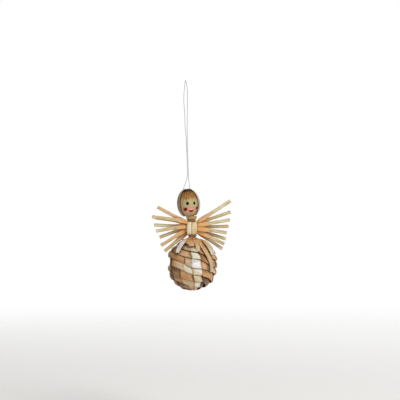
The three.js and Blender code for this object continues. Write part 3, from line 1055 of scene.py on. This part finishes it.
@dataclass
class Neck:
    """The gathered straws under the head, and the threads wound round neck and waist."""

    head: PaintedHead
    tube: ThreadTube
    straw: Material
    yarn: Material
    neck_x: float = 6.1
    pleats: int = 14
    pleat_sides: int = 10
    pleat_depth: float = 0.11
    pleat_roundness: float = 0.7
    profile: tuple = (
        (3.9, -141.1), (3.6, -140.5), (3.6, -139.4), (5.0, -138.3), (5.4, -136.8), (5.4, -135.2),
    )
    dish: tuple = ((0.9, 0.0), (1.4, 1.0), (5.0, 1.6))
    rings: int = 30
    turns: int = 3
    turn_steps: int = 48
    thread: float = 0.55
    thread_twist: float = 0.4
    backing: float = 0.2
    neck_tie: tuple[float, float, float] = (6.1, 4.1, -140.0)
    waist_tie: tuple[float, float, float] = (6.9, 4.1, -154.7)

    def build(self) -> None:
        """Makes the collar and both ties."""
        self.build_collar()
        angle = np.linspace(0, self.turns * TURN, self.turns * self.turn_steps)
        height = (angle / TURN / self.turns - 0.5) * (self.turns - 1) * self.thread
        for place, (x, radius, z) in (("neck", self.neck_tie), ("waist", self.waist_tie)):
            wound = radius + self.backing
            path = np.stack([x + wound * np.sin(angle), wound * np.cos(angle), z + height], axis=-1)
            piece = self.tube.make(f"{place}_winding", path, self.thread, self.thread_twist, self.yarn)
            dress(piece, "tie_thread", f"{place}_tie")

    def build_collar(self) -> None:
        """Makes the pleated cup under the head."""
        line = Line.through(self.profile, Spacing.EVEN)
        outer = line.points(np.linspace(0, line.length, self.rings))
        rings = np.vstack([outer, outer[-1] - np.array(self.dish)])
        sides = self.pleats * self.pleat_sides
        angle = np.linspace(0, TURN, sides, endpoint=False)
        wave = 1 - self.pleat_depth * np.abs(np.sin(angle * self.pleats / 2)) ** self.pleat_roundness
        shape = np.stack([
            self.neck_x + rings[:, :1] * wave * np.sin(angle),
            rings[:, :1] * wave * np.cos(angle),
            np.broadcast_to(rings[:, 1:], (len(rings), sides)),
        ], axis=-1)
        # Painted shade in the pleats: the valleys take the darker tone and the ridges the paler one.
        fold = (wave - wave.min()) / (wave.max() - wave.min())
        skin = Skin(
            rings=self.clear_of_head(shape), across=angle / TURN * self.pleats % 1.0, along=run_lengths(rings),
            tone=np.tile(mix(Shade.ORANGE.value, Shade.KHAKI.value, fold), (len(rings), 1)),
        )
        dress(skin.make("collar_straws", self.straw), "gathered_straw", "collar")

    def clear_of_head(self, points: Array) -> Array:
        """Lowers points that would be in the head.

        Args:
            points: Points of the collar.

        Returns:
            The points, none of them in the head.
        """
        local = (points - np.array(self.head.centre)) @ np.array(self.head.turned())
        radius, drop = self.head.radius + CLEARANCE, self.head.drop + CLEARANCE
        flat = np.clip((local[..., 0] ** 2 + local[..., 1] ** 2) / radius ** 2, 0, 1)
        local[..., 2] = np.minimum(local[..., 2], -drop * np.sqrt(1 - flat))
        return self.head.placed(local)


@dataclass
class Bodice:
    """Two upright straws in front and two behind, folded over the middle of the wings."""

    straw: Material
    top: float = -141.15
    bottom: float = -153.75
    tuck: float = 0.5
    tuck_share: float = 0.12
    end_shade: float = 0.25
    edge_shade: float = 0.5
    edge_power: int = 10
    cup: float = 0.9
    bow: float = 0.35
    depth: float = 5.1
    swell: float = 0.5
    thickness: float = 0.8
    taper: float = 0.18
    steps: int = 26
    grain_step: float = 17.0
    straws: tuple = (
        ("left", -0.68, -1, 2.5, 0.96), ("right", -0.55, 1, 2.85, 0.84),
    )

    def build(self) -> None:
        """Makes the four straws."""
        share = np.linspace(0, 1, self.steps)
        swell = np.sin(math.pi * share)
        pinched = (1 - np.sqrt(np.clip(swell, 0, 1)))[:, None]
        z = mix(self.top, self.bottom, share)
        tucked = self.tuck * (1 - ease(np.minimum(share, 1 - share), 0.0, self.tuck_share))
        outline, across = flat_outline(1.0, self.thickness, self.bow)
        for face, side in (("front", -1), ("back", 1)):
            for label, inner_edge, hand, half_width, tone in self.straws:
                outer = np.clip(hand * outline[:, 0], 0, 1)
                out = self.depth + (self.swell * swell - tucked)[:, None] + outline[:, 1] - self.cup * outer ** 2
                x = BODY_X + inner_edge + half_width * (1 - self.taper * pinched) * (hand + outline[:, 0])
                skin = Skin(
                    rings=np.stack([x, side * out, np.broadcast_to(z[:, None], x.shape)], axis=-1),
                    across=across, along=-z + self.grain_step * half_width,
                    tone=tone - self.end_shade * pinched - self.edge_shade * outer ** self.edge_power,
                )
                piece = skin.make(f"bodice_{face}_{label}", self.straw)
                dress(piece, "pale_straw", f"bodice_straw_{face}_{label}")


@dataclass
class Wings:
    """Whole straws that run through the body, pressed flat where they cross it and open at their ends."""

    straw: Material
    layer: float = 1.1
    shoulder: float = 6.4
    pinch: float = 3.2
    pinch_z: float = -147.6
    pinch_share: float = 0.6
    width: tuple = (1.65, 2.4, 4.5, 8.0)
    narrowing: tuple = (0.0, 0.75, 10.0, 20.0)
    depth: tuple = (0.53, 0.95, 18.0, 27.0)
    sides: int = 24
    steps: int = 90
    wall: float = 0.28
    bore: float = 7.0
    bore_stations: tuple = (1.0, 0.6, 1 / 7, 0.0)
    groove: float = 0.3
    groove_width: float = 0.3
    pale_span: Span = (6.0, 24.0)
    inside_shade: float = 0.4
    groove_shade: float = 0.1
    groove_shade_width: float = 0.35
    edge_shade: Span = (0.15, 0.6)
    edge_power: int = 4
    grain_step: float = 43.0
    straws: tuple = (
        ((40.3, -135.9, -141.1), (34.4, -151.9, -148.2)),
        ((36.3, -150.3, -145.9), (37.6, -139, -144.9)),
        ((34.8, -126.3, -142), (32, -163.2, -151.1)),
        ((31.3, -164.8, -149.7), (38.3, -120.1, -140.9)),
        ((37.5, -136.9, -142.3), (33.7, -158.3, -149.6)),
        ((38.3, -144.3, -146.1), (36.2, -145.6, -146.7)),
        ((27.8, -170.6, -152.9), (30.2, -168.4, -151.9)),
        ((32.8, -156.7, -147.3), (38.3, -131.3, -142.6)),
    )
    tip_tones: tuple = (
        (0.8, 0.82), (0.84, 0.86), (0.72, 0.84), (0.74, 0.86), (0.84, 0.82), (0.9, 0.76), (0.84, 0.88), (0.8, 0.82),
    )

    def half_route(self, measures: tuple, side: int, y: float) -> list:
        """Gives the points of one wing's half of a straw, from its tip inwards.

        Args:
            measures: How far the tip is from the middle, its height, and the height at the shoulder.
            side: -1 for the left wing, 1 for the right one.
            y: The straw's layer.

        Returns:
            The points.
        """
        reach, tip, shoulder = measures
        places = ((reach, tip), (self.shoulder, shoulder), (self.pinch, mix(self.pinch_z, shoulder, self.pinch_share)))
        return [(BODY_X + side * out, y, z) for out, z in places]

    def build(self) -> None:
        """Makes the eight straws."""
        middle = (len(self.straws) - 1) / 2
        for i, (left, right) in enumerate(self.straws):
            y = (i - middle) * self.layer
            points = self.half_route(left, -1, y) + self.half_route(right, 1, y)[::-1]
            self.build_straw(i, Line.through(points, Spacing.ROOT))

    def build_straw(self, index: int, line: Line) -> None:
        """Makes one straw with open ends.

        Args:
            index: Its place from the front.
            line: Its middle line.
        """
        inner = self.bore * np.array(self.bore_stations)
        distance = np.concatenate([inner, np.linspace(0, line.length, self.steps), line.length - inner[::-1]])
        inside = np.ones(len(distance))
        inside[len(inner):-len(inner)] = 0
        centres, along = line.points(distance), line.directions(distance)
        from_middle = np.abs(centres[:, 0] - BODY_X)
        half_width, narrower, half_depth = (
            mix(*sizes[:2], ease(from_middle, *sizes[2:])) for sizes in (self.width, self.narrowing, self.depth)
        )
        half_width, half_depth = half_width - narrower - self.wall * inside, half_depth - self.wall * inside
        angle = np.linspace(0, TURN, self.sides, endpoint=False)
        dent = 1 - self.groove * bell(np.cos(angle), self.groove_width)
        front = np.array((0.0, -1.0, 0.0))
        rings = (
            centres[:, None]
            + unit(np.cross(front, along))[:, None] * (half_width[:, None] * np.cos(angle))[..., None]
            + front * (half_depth[:, None] * np.sin(angle) * dent)[..., None]
        )
        pale = ease(from_middle, *self.pale_span)
        tip = np.where(centres[:, 0] < BODY_X, *self.tip_tones[index])
        tone = mix(Shade.GOLD.value, tip, pale) - self.inside_shade * inside
        groove = self.groove_shade * bell(np.cos(angle), self.groove_shade_width) * pale[:, None]
        edge = np.cos(angle) ** self.edge_power * mix(*self.edge_shade, pale[:, None])
        skin = Skin(
            rings=rings, across=angle / TURN, along=distance + self.grain_step * index,
            tone=tone[:, None] - groove - edge, wraps=True, sharp=60,
        )
        dress(skin.make(f"wing_stalk_{index + 1}", self.straw), "wing_straw", f"wing_straw_{index + 1}")


@dataclass(frozen=True)
class YokeStraw:
    """One straw of the yoke: its length, half width, turns aside high up and low down, lift, and end tones."""

    reach: float
    half_width: float
    high: float
    low: float
    lift: float
    tone_top: float
    tone_end: float


class Corner(IntEnum):
    """The skirt's corners. The side that follows a corner has its number."""

    FRONT = 0
    RIGHT = 1
    BACK = 2
    LEFT = 3


@dataclass
class Skirt:
    """The hollow plaited bulb with four corners, and the straws spread over its top."""

    straw: Material
    profile: tuple = (
        (5.5, -159.9), (9.5, -161.5), (13.5, -163.8), (17.4, -167.3), (20.8, -171.8), (22.9, -177.2),
        (23.5, -183), (23.2, -188), (22.2, -192.6), (20.2, -197.3), (17.2, -201.2), (12.6, -204.4),
        (8, -206.4), (3, -207.4), (1, -207.6),
    )
    yoke_profile: tuple = (
        (3.1, -153.9), (3, -156.2), (5.4, -158), (9.5, -159.2), (14.8, -161.5), (19.6, -165), (23.7, -170.3),
        (25.7, -177), (26.2, -183), (26, -188), (24.9, -192.5),
    )
    strands: int = 5
    first_row: float = 7.65
    pitch: float = 7.4
    rows: float = 8.6
    end_gap: float = 0.3
    half_width: float = 4.35
    thickness: float = 0.62
    steps_per_quarter: int = 40
    grain_step: float = 57.0
    # The corners, and how far a straw comes down round one and along a side.
    first_corner: float = -1.0
    twist: float = 26.0
    corner_share: float = 0.11
    corner_edge: float = 0.015
    corner_raise: float = 0.035
    corner_drop: float = 0.1
    side_drop: float = 1.15
    side_flat: float = 0.1
    # How far a straw's lower edge stands out and its upper edge in.
    lean_side: float = 0.9
    lean_corner: float = 1.3
    lean_hem: float = 2.1
    lean_side_from: float = 0.6
    hem: Span = (0.5, 0.8)
    # Unevenness. A lump has its height, place round, spread, place down and spread. A wave has its number round,
    # its rate down, its start and its height.
    lumps: tuple = (
        (-4.2, -104, 26, 29.5, 3.8), (1.3, -98, 22, 20, 3.4), (-1.2, -110, 24, 46, 3.4), (0.8, 66, 20, 50, 4),
    )
    sway: float = 0.75
    sway_waves: tuple = ((2, 0.19, 0.6, 1.0), (5, -0.31, 0.0, 0.6))
    ripple: float = 0.3
    ripple_waves: tuple = ((3, 0.42, 0.0, 1.0), (7, -0.55, 1.7, 0.7))
    wobble: float = 0.022
    wobble_wave: tuple = ((1, 0.55, 0.0, 1.0),)
    # What is drawn at random for each side and fold, counted from a few before the first.
    draws: int = 40
    before: int = 12
    puff_seed: int = 60
    puff_side: Span = (0.2, 0.9)
    puff_fold: Span = (0.8, 1.4)
    puff_fade: Span = (0.06, 0.2)
    crease_seed: int = 90
    crease_span: Span = (0.34, 0.66)
    crease_depth: float = 0.4
    crease_width: float = 0.03
    tone_seed: int = 20
    fold_tones: Span = (0.3, 0.85)
    side_tones: Span = (0.3, 0.7)
    side_edge_shade: Span = (0.1, 0.75)
    layer_step: Span = (0.03, 0.13)
    crease_shade: Span = (0.1, 0.55)
    crease_shade_width: float = 0.022
    # Tones row by row: on the front fold, whose palest tiles are partly a painted highlight; on the left fold, darker
    # partly as painted shade; and on the sides left and right of the front fold. All grow darker towards the bottom
    # rows. Then the painted shade beside the left corner and along the folds.
    front_column: tuple = (0.7, 0.8, 0.98, 1.0, 0.9, 0.74, 0.88, 0.62, 0.3)
    left_column: tuple = (0.7, 0.6, 0.28, 0.22, 0.3, 0.2, 0.3, 0.2, 0.2)
    left_side: tuple = (0.62, 0.5, 0.6, 0.78, 0.42, 0.6, 0.44, 0.3, 0.2)
    right_side: tuple = (0.55, 0.5, 0.44, 0.4, 0.62, 0.48, 0.2, 0.16, 0.12)
    left_shade: float = 0.26
    left_fade: Span = (0.28, 0.6)
    # Painted shade: a dark line where each fold tile meets a side, with its width.
    fold_edge_shade: float = 0.08
    edge_shade_width: float = 0.035
    # The yoke. Spans are distances below the waist.
    yoke_straws: tuple = (
        YokeStraw(29.5, 3.2, 10, 0, 0, 0.9, 1.0),
        YokeStraw(21.5, 3.4, 17, 0, 0, 0.44, 0.54),
        YokeStraw(28, 2.3, 0, 0, 0, 0.46, 0.68),
        YokeStraw(49, 2.8, -17, 21, 0, 0.44, 0.66),
        YokeStraw(32, 4.7, -28, 0, 1.1, 0.5, 0.8),
        YokeStraw(25, 3.6, -20, 0, 0, 0.5, 0.6),
        YokeStraw(28, 3.6, -10, 0, 0, 0.46, 0.72),
        YokeStraw(22, 3.4, 0, 0, 0, 0.42, 0.5),
        YokeStraw(30, 3.6, 3, 12, 0, 0.5, 0.84),
        YokeStraw(10.5, 3.6, 4, 0, 0, 0.4, 0.6),
    )
    yoke_first: float = -55.0
    yoke_high: Span = (8.0, 20.0)
    yoke_low: Span = (20.0, 45.0)
    yoke_cornered: Span = (2.0, 18.0)
    yoke_half_angle: float = 17.0
    yoke_shoulder: float = 1.6
    yoke_shoulder_span: Span = (11.0, 18.0)
    yoke_taper: float = 0.72
    yoke_taper_length: float = 5.0
    yoke_thickness: float = 0.62
    yoke_bow: float = 0.3
    yoke_tone_top: Span = (2.0, 9.0)
    yoke_tone_end: float = 10.0
    yoke_steps: float = 1.6
    yoke_grain_step: float = 61.0
    core_height: float = 12.6

    def along_side(self, angle: Array) -> Array:
        """Tells how far angles are along a side.

        Args:
            angle: Angles round the skirt.

        Returns:
            0 at a corner's fold, 1 in the side's middle.
        """
        quarters = (angle - math.radians(self.first_corner)) * len(Corner) / TURN
        from_corner = np.abs(quarters - np.round(quarters))
        return np.clip(from_corner - self.corner_share, 0, None) / (0.5 - self.corner_share)

    def cornered(self, angle: Array) -> Array:
        """Gives the skirt's radius as a share of the corners' radius.

        Args:
            angle: Angles round the skirt.

        Returns:
            The shares.
        """
        side = self.along_side(angle)
        fold = ease(side, 0.0, self.corner_edge / (0.5 - self.corner_share))
        return 1 - self.corner_raise * fold - self.side_flat * np.sin(side * math.pi / 2)

    def lean(self, angle: Array, share: Array) -> Array:
        """Tells how far a straw leans out, at angles and shares of the way down."""
        base = mix(self.lean_corner, self.lean_side, ease(self.along_side(angle), 0, self.lean_side_from))
        return mix(base, self.lean_hem, ease(share, *self.hem))

    def place(self, line: Line, distance: Array, angle: Array, offset: Array) -> Array:
        """Finds points over the skirt.

        Args:
            line: The skirt's profile.
            distance: Distances down the profile.
            angle: Angles round it, before the twist.
            offset: Heights above it.

        Returns:
            The points.
        """
        share = np.clip(distance / line.length, 0, 1)
        sway, ripple, wobble = (
            size * np.sin(share * math.pi)
            * sum(height * np.sin(turns * angle + rate * distance + start) for turns, rate, start, height in waves)
            for size, waves in (
                (self.sway, self.sway_waves), (self.ripple, self.ripple_waves), (self.wobble, self.wobble_wave),
            )
        )
        moved = np.clip(distance + sway, 0, line.length)
        point, slope = line.points(moved), line.directions(moved)
        raised = offset + ripple + self.lump_height(angle, distance)
        radius = point[..., 0] * self.cornered(angle) - slope[..., 1] * raised
        turned = angle + math.radians(self.twist) * share + wobble
        return round_body(radius, turned, point[..., 1] + slope[..., 0] * raised)

    def lump_height(self, angle: Array, distance: Array) -> Array:
        """Tells how far the lumps and dents move places outwards.

        Args:
            angle: Angles round the skirt.
            distance: Distances down its profile.

        Returns:
            The heights.
        """
        total = np.zeros_like(distance)
        for out, at, angle_spread, down, down_spread in self.lumps:
            turns = angle / TURN - at / 360
            aside = (turns - np.round(turns)) * 360 / angle_spread
            total = total + out * np.exp(-aside ** 2 - ((distance - down) / down_spread) ** 2)
        return total

    def rows_down(self, quarters: Array) -> Array:
        """Counts the rows that a straw has come down.

        Args:
            quarters: Quarter turns from the front corner.

        Returns:
            The rows.
        """
        corner = np.round(quarters)
        past = quarters - corner
        beyond = np.abs(past) - self.corner_share
        level = past * self.corner_drop / (2 * self.corner_share)
        slope = self.side_drop / (1 - 2 * self.corner_share)
        steep = np.sign(past) * (self.corner_drop / 2 + beyond * slope)
        return corner * (self.corner_drop + self.side_drop) + np.where(beyond < 0, level, steep)

    def build(self) -> None:
        """Makes the plait and the yoke."""
        line = Line.through(self.profile, Spacing.EVEN)
        for i in range(self.strands):
            self.build_strand(line, i)
        radius, waist = self.yoke_profile[0]
        yoke = Line.through([(radius, waist + self.core_height), *self.yoke_profile], Spacing.EVEN)
        for i, measures in enumerate(self.yoke_straws):
            self.build_yoke(yoke, i, measures)

    def drawn(self, noise: np.random.Generator, span: Span, at: Array) -> Array:
        """Draws a value for each side or fold and reads those that are asked for."""
        return noise.uniform(*span, self.draws)[at + self.before]

    def crease_at(self, index: int, side: Array) -> Array:
        """Tells where a plaited straw's two lengths meet on each side."""
        return self.drawn(np.random.default_rng(self.crease_seed + index), self.crease_span, side)

    def strand_tone(self, index: int, quarters: Array) -> Array:
        """Chooses a plaited straw's colour along its way.

        Args:
            index: The straw's number.
            quarters: Quarter turns at each station.

        Returns:
            The tone at each station.
        """
        cell, side = np.floor(quarters + 0.5).astype(int), np.floor(quarters).astype(int)
        from_corner = np.abs(quarters - np.round(quarters))
        fold = from_corner < self.corner_share + self.corner_edge / 2
        noise = np.random.default_rng(self.tone_seed + index)
        fold_tones = self.drawn(noise, self.fold_tones, cell)
        tone = np.where(fold, fold_tones, self.drawn(noise, self.side_tones, side))
        row = np.round(self.rows_down(np.where(fold, cell, side + 0.5)) + index).astype(int)
        corner, after = cell % len(Corner), side % len(Corner)
        for seen, column in (
            (fold & (corner == Corner.FRONT), self.front_column),
            (fold & (corner == Corner.LEFT), self.left_column),
            (~fold & (after == Corner.LEFT), self.left_side),
            (~fold & (after == Corner.FRONT), self.right_side),
        ):
            tone = np.where(seen, np.array(column)[np.clip(row, 0, len(column) - 1)], tone)
        from_left = quarters - side
        shaded = self.left_shade * (1 - ease(from_left, *self.left_fade)) * ~fold * (after == Corner.LEFT)
        # Painted shade: a dark line where each fold tile meets a side, faint on the fold and of random strength on the
        # side under it.
        beside = bell(from_corner - self.corner_share - self.corner_edge, self.edge_shade_width)
        side_edge_shade = noise.uniform(*self.side_edge_shade, 2 * self.draws)[cell + side + 2 * self.before]
        past_crease = from_left - self.crease_at(index, side)
        layered = self.drawn(noise, self.layer_step, side) * np.sign(past_crease)
        crease = self.drawn(noise, self.crease_shade, side) * bell(past_crease, self.crease_shade_width)
        line = np.where(fold, self.fold_edge_shade, side_edge_shade) * beside
        return tone - shaded - line + np.where(fold, 0, layered - crease)

    def puff(self, index: int, quarters: Array) -> Array:
        """Tells how far the middle of a plaited straw stands out: little along a side, most at a fold.

        Args:
            index: The straw's number.
            quarters: Quarter turns at each station.

        Returns:
            The height at each station.
        """
        noise = np.random.default_rng(self.puff_seed + index)
        corner, side = np.round(quarters).astype(int), np.floor(quarters).astype(int)
        at_side = noise.uniform(*self.puff_side, self.draws)
        at_fold = self.drawn(noise, self.puff_fold, corner)
        middles = np.arange(self.draws) - self.before + 0.5
        folded = 1 - ease(np.abs(quarters - corner), *self.puff_fade)
        crease = self.crease_depth * bell(quarters - side - self.crease_at(index, side), self.crease_width)
        return mix(np.interp(quarters, middles, at_side), at_fold, folded) - crease

    def build_strand(self, line: Line, index: int) -> None:
        """Makes one plaited straw.

        Args:
            line: The skirt's profile.
            index: The straw's number.
        """
        per_corner = self.corner_drop + self.side_drop
        start, end = -index / per_corner, (self.rows - index) / per_corner
        quarters = np.linspace(start, end, int((end - start) * self.steps_per_quarter))
        angle = math.radians(self.first_corner) + quarters * TURN / len(Corner)
        middle = self.first_row + self.pitch * (self.rows_down(quarters) + index)
        lean = self.lean(angle, middle / line.length) / self.half_width
        top = middle - self.half_width
        width = np.minimum(middle + self.half_width, line.length - self.end_gap) - top
        outline, across = flat_outline(0.5, self.thickness, 0.0)
        distance = top[:, None] + (0.5 - outline[:, 0]) * width[:, None]
        puffed = self.puff(index, quarters)[:, None] * (1 - (2 * outline[:, 0]) ** 2)
        offset = outline[:, 1] + puffed - lean[:, None] * (middle[:, None] - distance)
        rings = self.place(line, distance, np.broadcast_to(angle[:, None], distance.shape), offset)
        skin = Skin(
            rings=rings, across=across, along=run_lengths(rings.mean(axis=1)) + self.grain_step * index,
            tone=self.strand_tone(index, quarters),
        )
        dress(skin.make(f"plaited_straw_{index + 1}", self.straw), "plait_straw", f"skirt_straw_{index + 1}")

    def build_yoke(self, line: Line, index: int, measures: YokeStraw) -> None:
        """Makes one straw of the yoke.

        Args:
            line: The yoke's profile.
            index: The straw's number.
            measures: Its sizes and tones.
        """
        reach = measures.reach
        distance = np.linspace(-self.core_height, reach, int((self.core_height + reach) * self.yoke_steps))
        turned = ease(distance, *self.yoke_high)
        aside = measures.high * turned + measures.low * ease(distance, *self.yoke_low)
        angle = np.radians(self.yoke_first + index * 360 / len(self.yoke_straws) + aside)
        point, slope = line.points(distance + self.core_height), line.directions(distance + self.core_height)
        lift = measures.lift * turned
        cornered = mix(1.0, self.cornered(angle), ease(distance, *self.yoke_cornered))
        radius = point[:, 0] * cornered - slope[:, 1] * lift
        outs = np.stack([-slope[:, 1] * np.sin(angle), slope[:, 1] * np.cos(angle), slope[:, 0]], axis=-1)
        wide = measures.half_width + self.yoke_shoulder * (1 - ease(distance, *self.yoke_shoulder_span))
        half = np.minimum(wide, radius * math.tan(math.radians(self.yoke_half_angle)))
        half = half * mix(1.0, self.yoke_taper, ease(distance, reach - self.yoke_taper_length, reach))
        outline, across = flat_outline(1.0, self.yoke_thickness, self.yoke_bow)
        tone = mix(Shade.ORANGE.value, measures.tone_top, ease(distance, *self.yoke_tone_top))
        skin = Skin(
            rings=swept(round_body(radius, angle, point[:, 1] + slope[:, 0] * lift), outs, outline, half),
            across=across, along=distance + self.yoke_grain_step * index,
            tone=mix(tone, measures.tone_end, ease(distance, self.yoke_tone_end, reach)),
        )
        dress(skin.make(f"yoke_strip_{index + 1}", self.straw), "plait_straw", f"yoke_straw_{index + 1}")


@dataclass
class Studio:
    """The pale floor, the soft lights, and the camera at the photograph's place."""

    frame_side: float = 0.4
    middle: Span = (0.0146, -0.1193)
    distance: float = 1.7
    sensor: float = 36.0
    floor_z: float = -0.34
    floor_radius: float = 2.4
    floor_sides: int = 96
    floor_fade: Span = (0.15, 0.8)
    floor_tints: tuple[Colour, Colour] = ((246, 245, 243), (250, 250, 249))
    floor_grain: float = 60.0
    floor_roughness: float = 0.9
    light_colour: tuple = (1.0, 0.985, 0.96, 1.0)
    light_strength: float = 0.42
    aim: tuple[float, float, float] = (0.007, 0.0, -0.15)
    # Name, place, size and power of each light.
    lights: tuple = (
        ("key_light", (0.9, -1.3, 0.9), 0.9, 22.0),
        ("fill_light", (-1.2, -1.1, 0.1), 1.2, 3.5),
        ("rim_light", (0.4, 1.3, 0.8), 0.9, 6.0),
    )

    def build(self) -> None:
        """Makes the camera, the world, the floor and the lights."""
        self.build_camera()
        self.build_world()
        self.build_floor()
        self.build_lights()

    def build_camera(self) -> None:
        """Makes the camera, level and square to the object."""
        data = bpy.data.cameras.new("camera")
        data.sensor_width = self.sensor
        data.lens = self.sensor * self.distance / self.frame_side
        camera = linked("camera", data)
        camera.location = (self.middle[0], -self.distance, self.middle[1])
        camera.rotation_euler = (math.pi / 2, 0, 0)
        bpy.context.scene.camera = camera

    def build_world(self) -> None:
        """Makes a white surround that lights softly."""
        world = bpy.data.worlds.new("studio")
        world.use_nodes = True
        world.node_tree.nodes.clear()
        tree = Tree(world.node_tree)
        seen = tree.add("ShaderNodeBackground", {"Color": (1, 1, 1, 1), "Strength": 1.0})
        light = tree.add("ShaderNodeBackground", {"Color": self.light_colour, "Strength": self.light_strength})
        path = tree.add("ShaderNodeLightPath")
        both = tree.add("ShaderNodeMixShader", {
            0: path.outputs["Is Camera Ray"], 1: light.outputs[0], 2: seen.outputs[0],
        })
        tree.add("ShaderNodeOutputWorld", {"Surface": both.outputs[0]})
        bpy.context.scene.world = world
        bpy.context.scene.view_settings.view_transform = "Standard"

    def build_floor(self) -> None:
        """Makes a pale floor that fades out towards its rim."""
        work = bmesh.new()
        bmesh.ops.create_circle(work, cap_ends=True, segments=self.floor_sides, radius=self.floor_radius)
        bmesh.ops.translate(work, verts=work.verts, vec=(0, 0, self.floor_z))
        mesh = bpy.data.meshes.new("floor")
        work.to_mesh(mesh)
        work.free()
        material, tree, shader = new_material("pale_floor")
        place = tree.add("ShaderNodeTexCoord").outputs["Object"]
        parts = tree.add("ShaderNodeSeparateXYZ", {0: place}).outputs
        squares = (tree.maths("POWER", parts[axis], 2.0) for axis in ("X", "Y"))
        away = tree.maths("SQRT", tree.maths("ADD", *squares))
        near, far = self.floor_fade
        tree.put(tree.range(away, near, self.floor_radius * far, (1.0, 0.0)), shader.inputs["Alpha"])
        colour = tree.blend(tree.noise(place, self.floor_grain, 3.0), *self.floor_tints)
        tree.put(colour, shader.inputs["Base Color"])
        shader.inputs["Roughness"].default_value = self.floor_roughness
        finish_mesh("floor", mesh, material, 30.0)

    def build_lights(self) -> None:
        """Makes the soft lights, each facing the ornament."""
        for name, place, size, power in self.lights:
            data = bpy.data.lights.new(name, "AREA")
            data.shape = "DISK"
            data.size = size
            data.energy = power
            light = linked(name, data)
            light.location = place
            light.rotation_euler = (Vector(self.aim) - Vector(place)).to_track_quat("-Z", "Y").to_euler()


def main() -> None:
    """Builds the studio, then every sub-assembly in order."""
    logging.basicConfig(level=logging.INFO, format="%(message)s")
    Studio().build()
    effects, tube, head = SharedEffects(), ThreadTube(), PaintedHead()
    loop = ThreadFinish("loop_thread", (176, 168, 152), (112, 104, 90)).make(effects)
    yarn = ThreadFinish("tie_yarn", (168, 130, 72), (116, 84, 40), 1800.0).make(effects)
    flat_straw = StrawFinish("flattened_straw").make(effects)
    round_straw = StrawFinish("stalk_straw", fibres=30.0, tone_drift=0.18, colours=GOLDEN_STRAW).make(effects)
    pale_straw = StrawFinish("pale_strip_straw", colours=PALE_STRAW, tone_drift=0.14).make(effects)
    khaki_straw = StrawFinish("khaki_strip_straw", colours=KHAKI_STRAW, crevice_shade_strength=0.5).make(effects)
    grey_and_shaded_straw = StrawFinish("grey_and_shaded_strip_straw", colours=GREY_AND_SHADED_STRAW, tone_drift=0.2).make(effects)
    HangingThread(tube, loop).build()
    head.build(PaintedFinish(head, effects).make(), grey_and_shaded_straw)
    Neck(head, tube, khaki_straw, yarn).build()
    Bodice(pale_straw).build()
    Wings(round_straw).build()
    Skirt(flat_straw).build()


if __name__ == "__main__":
    main()
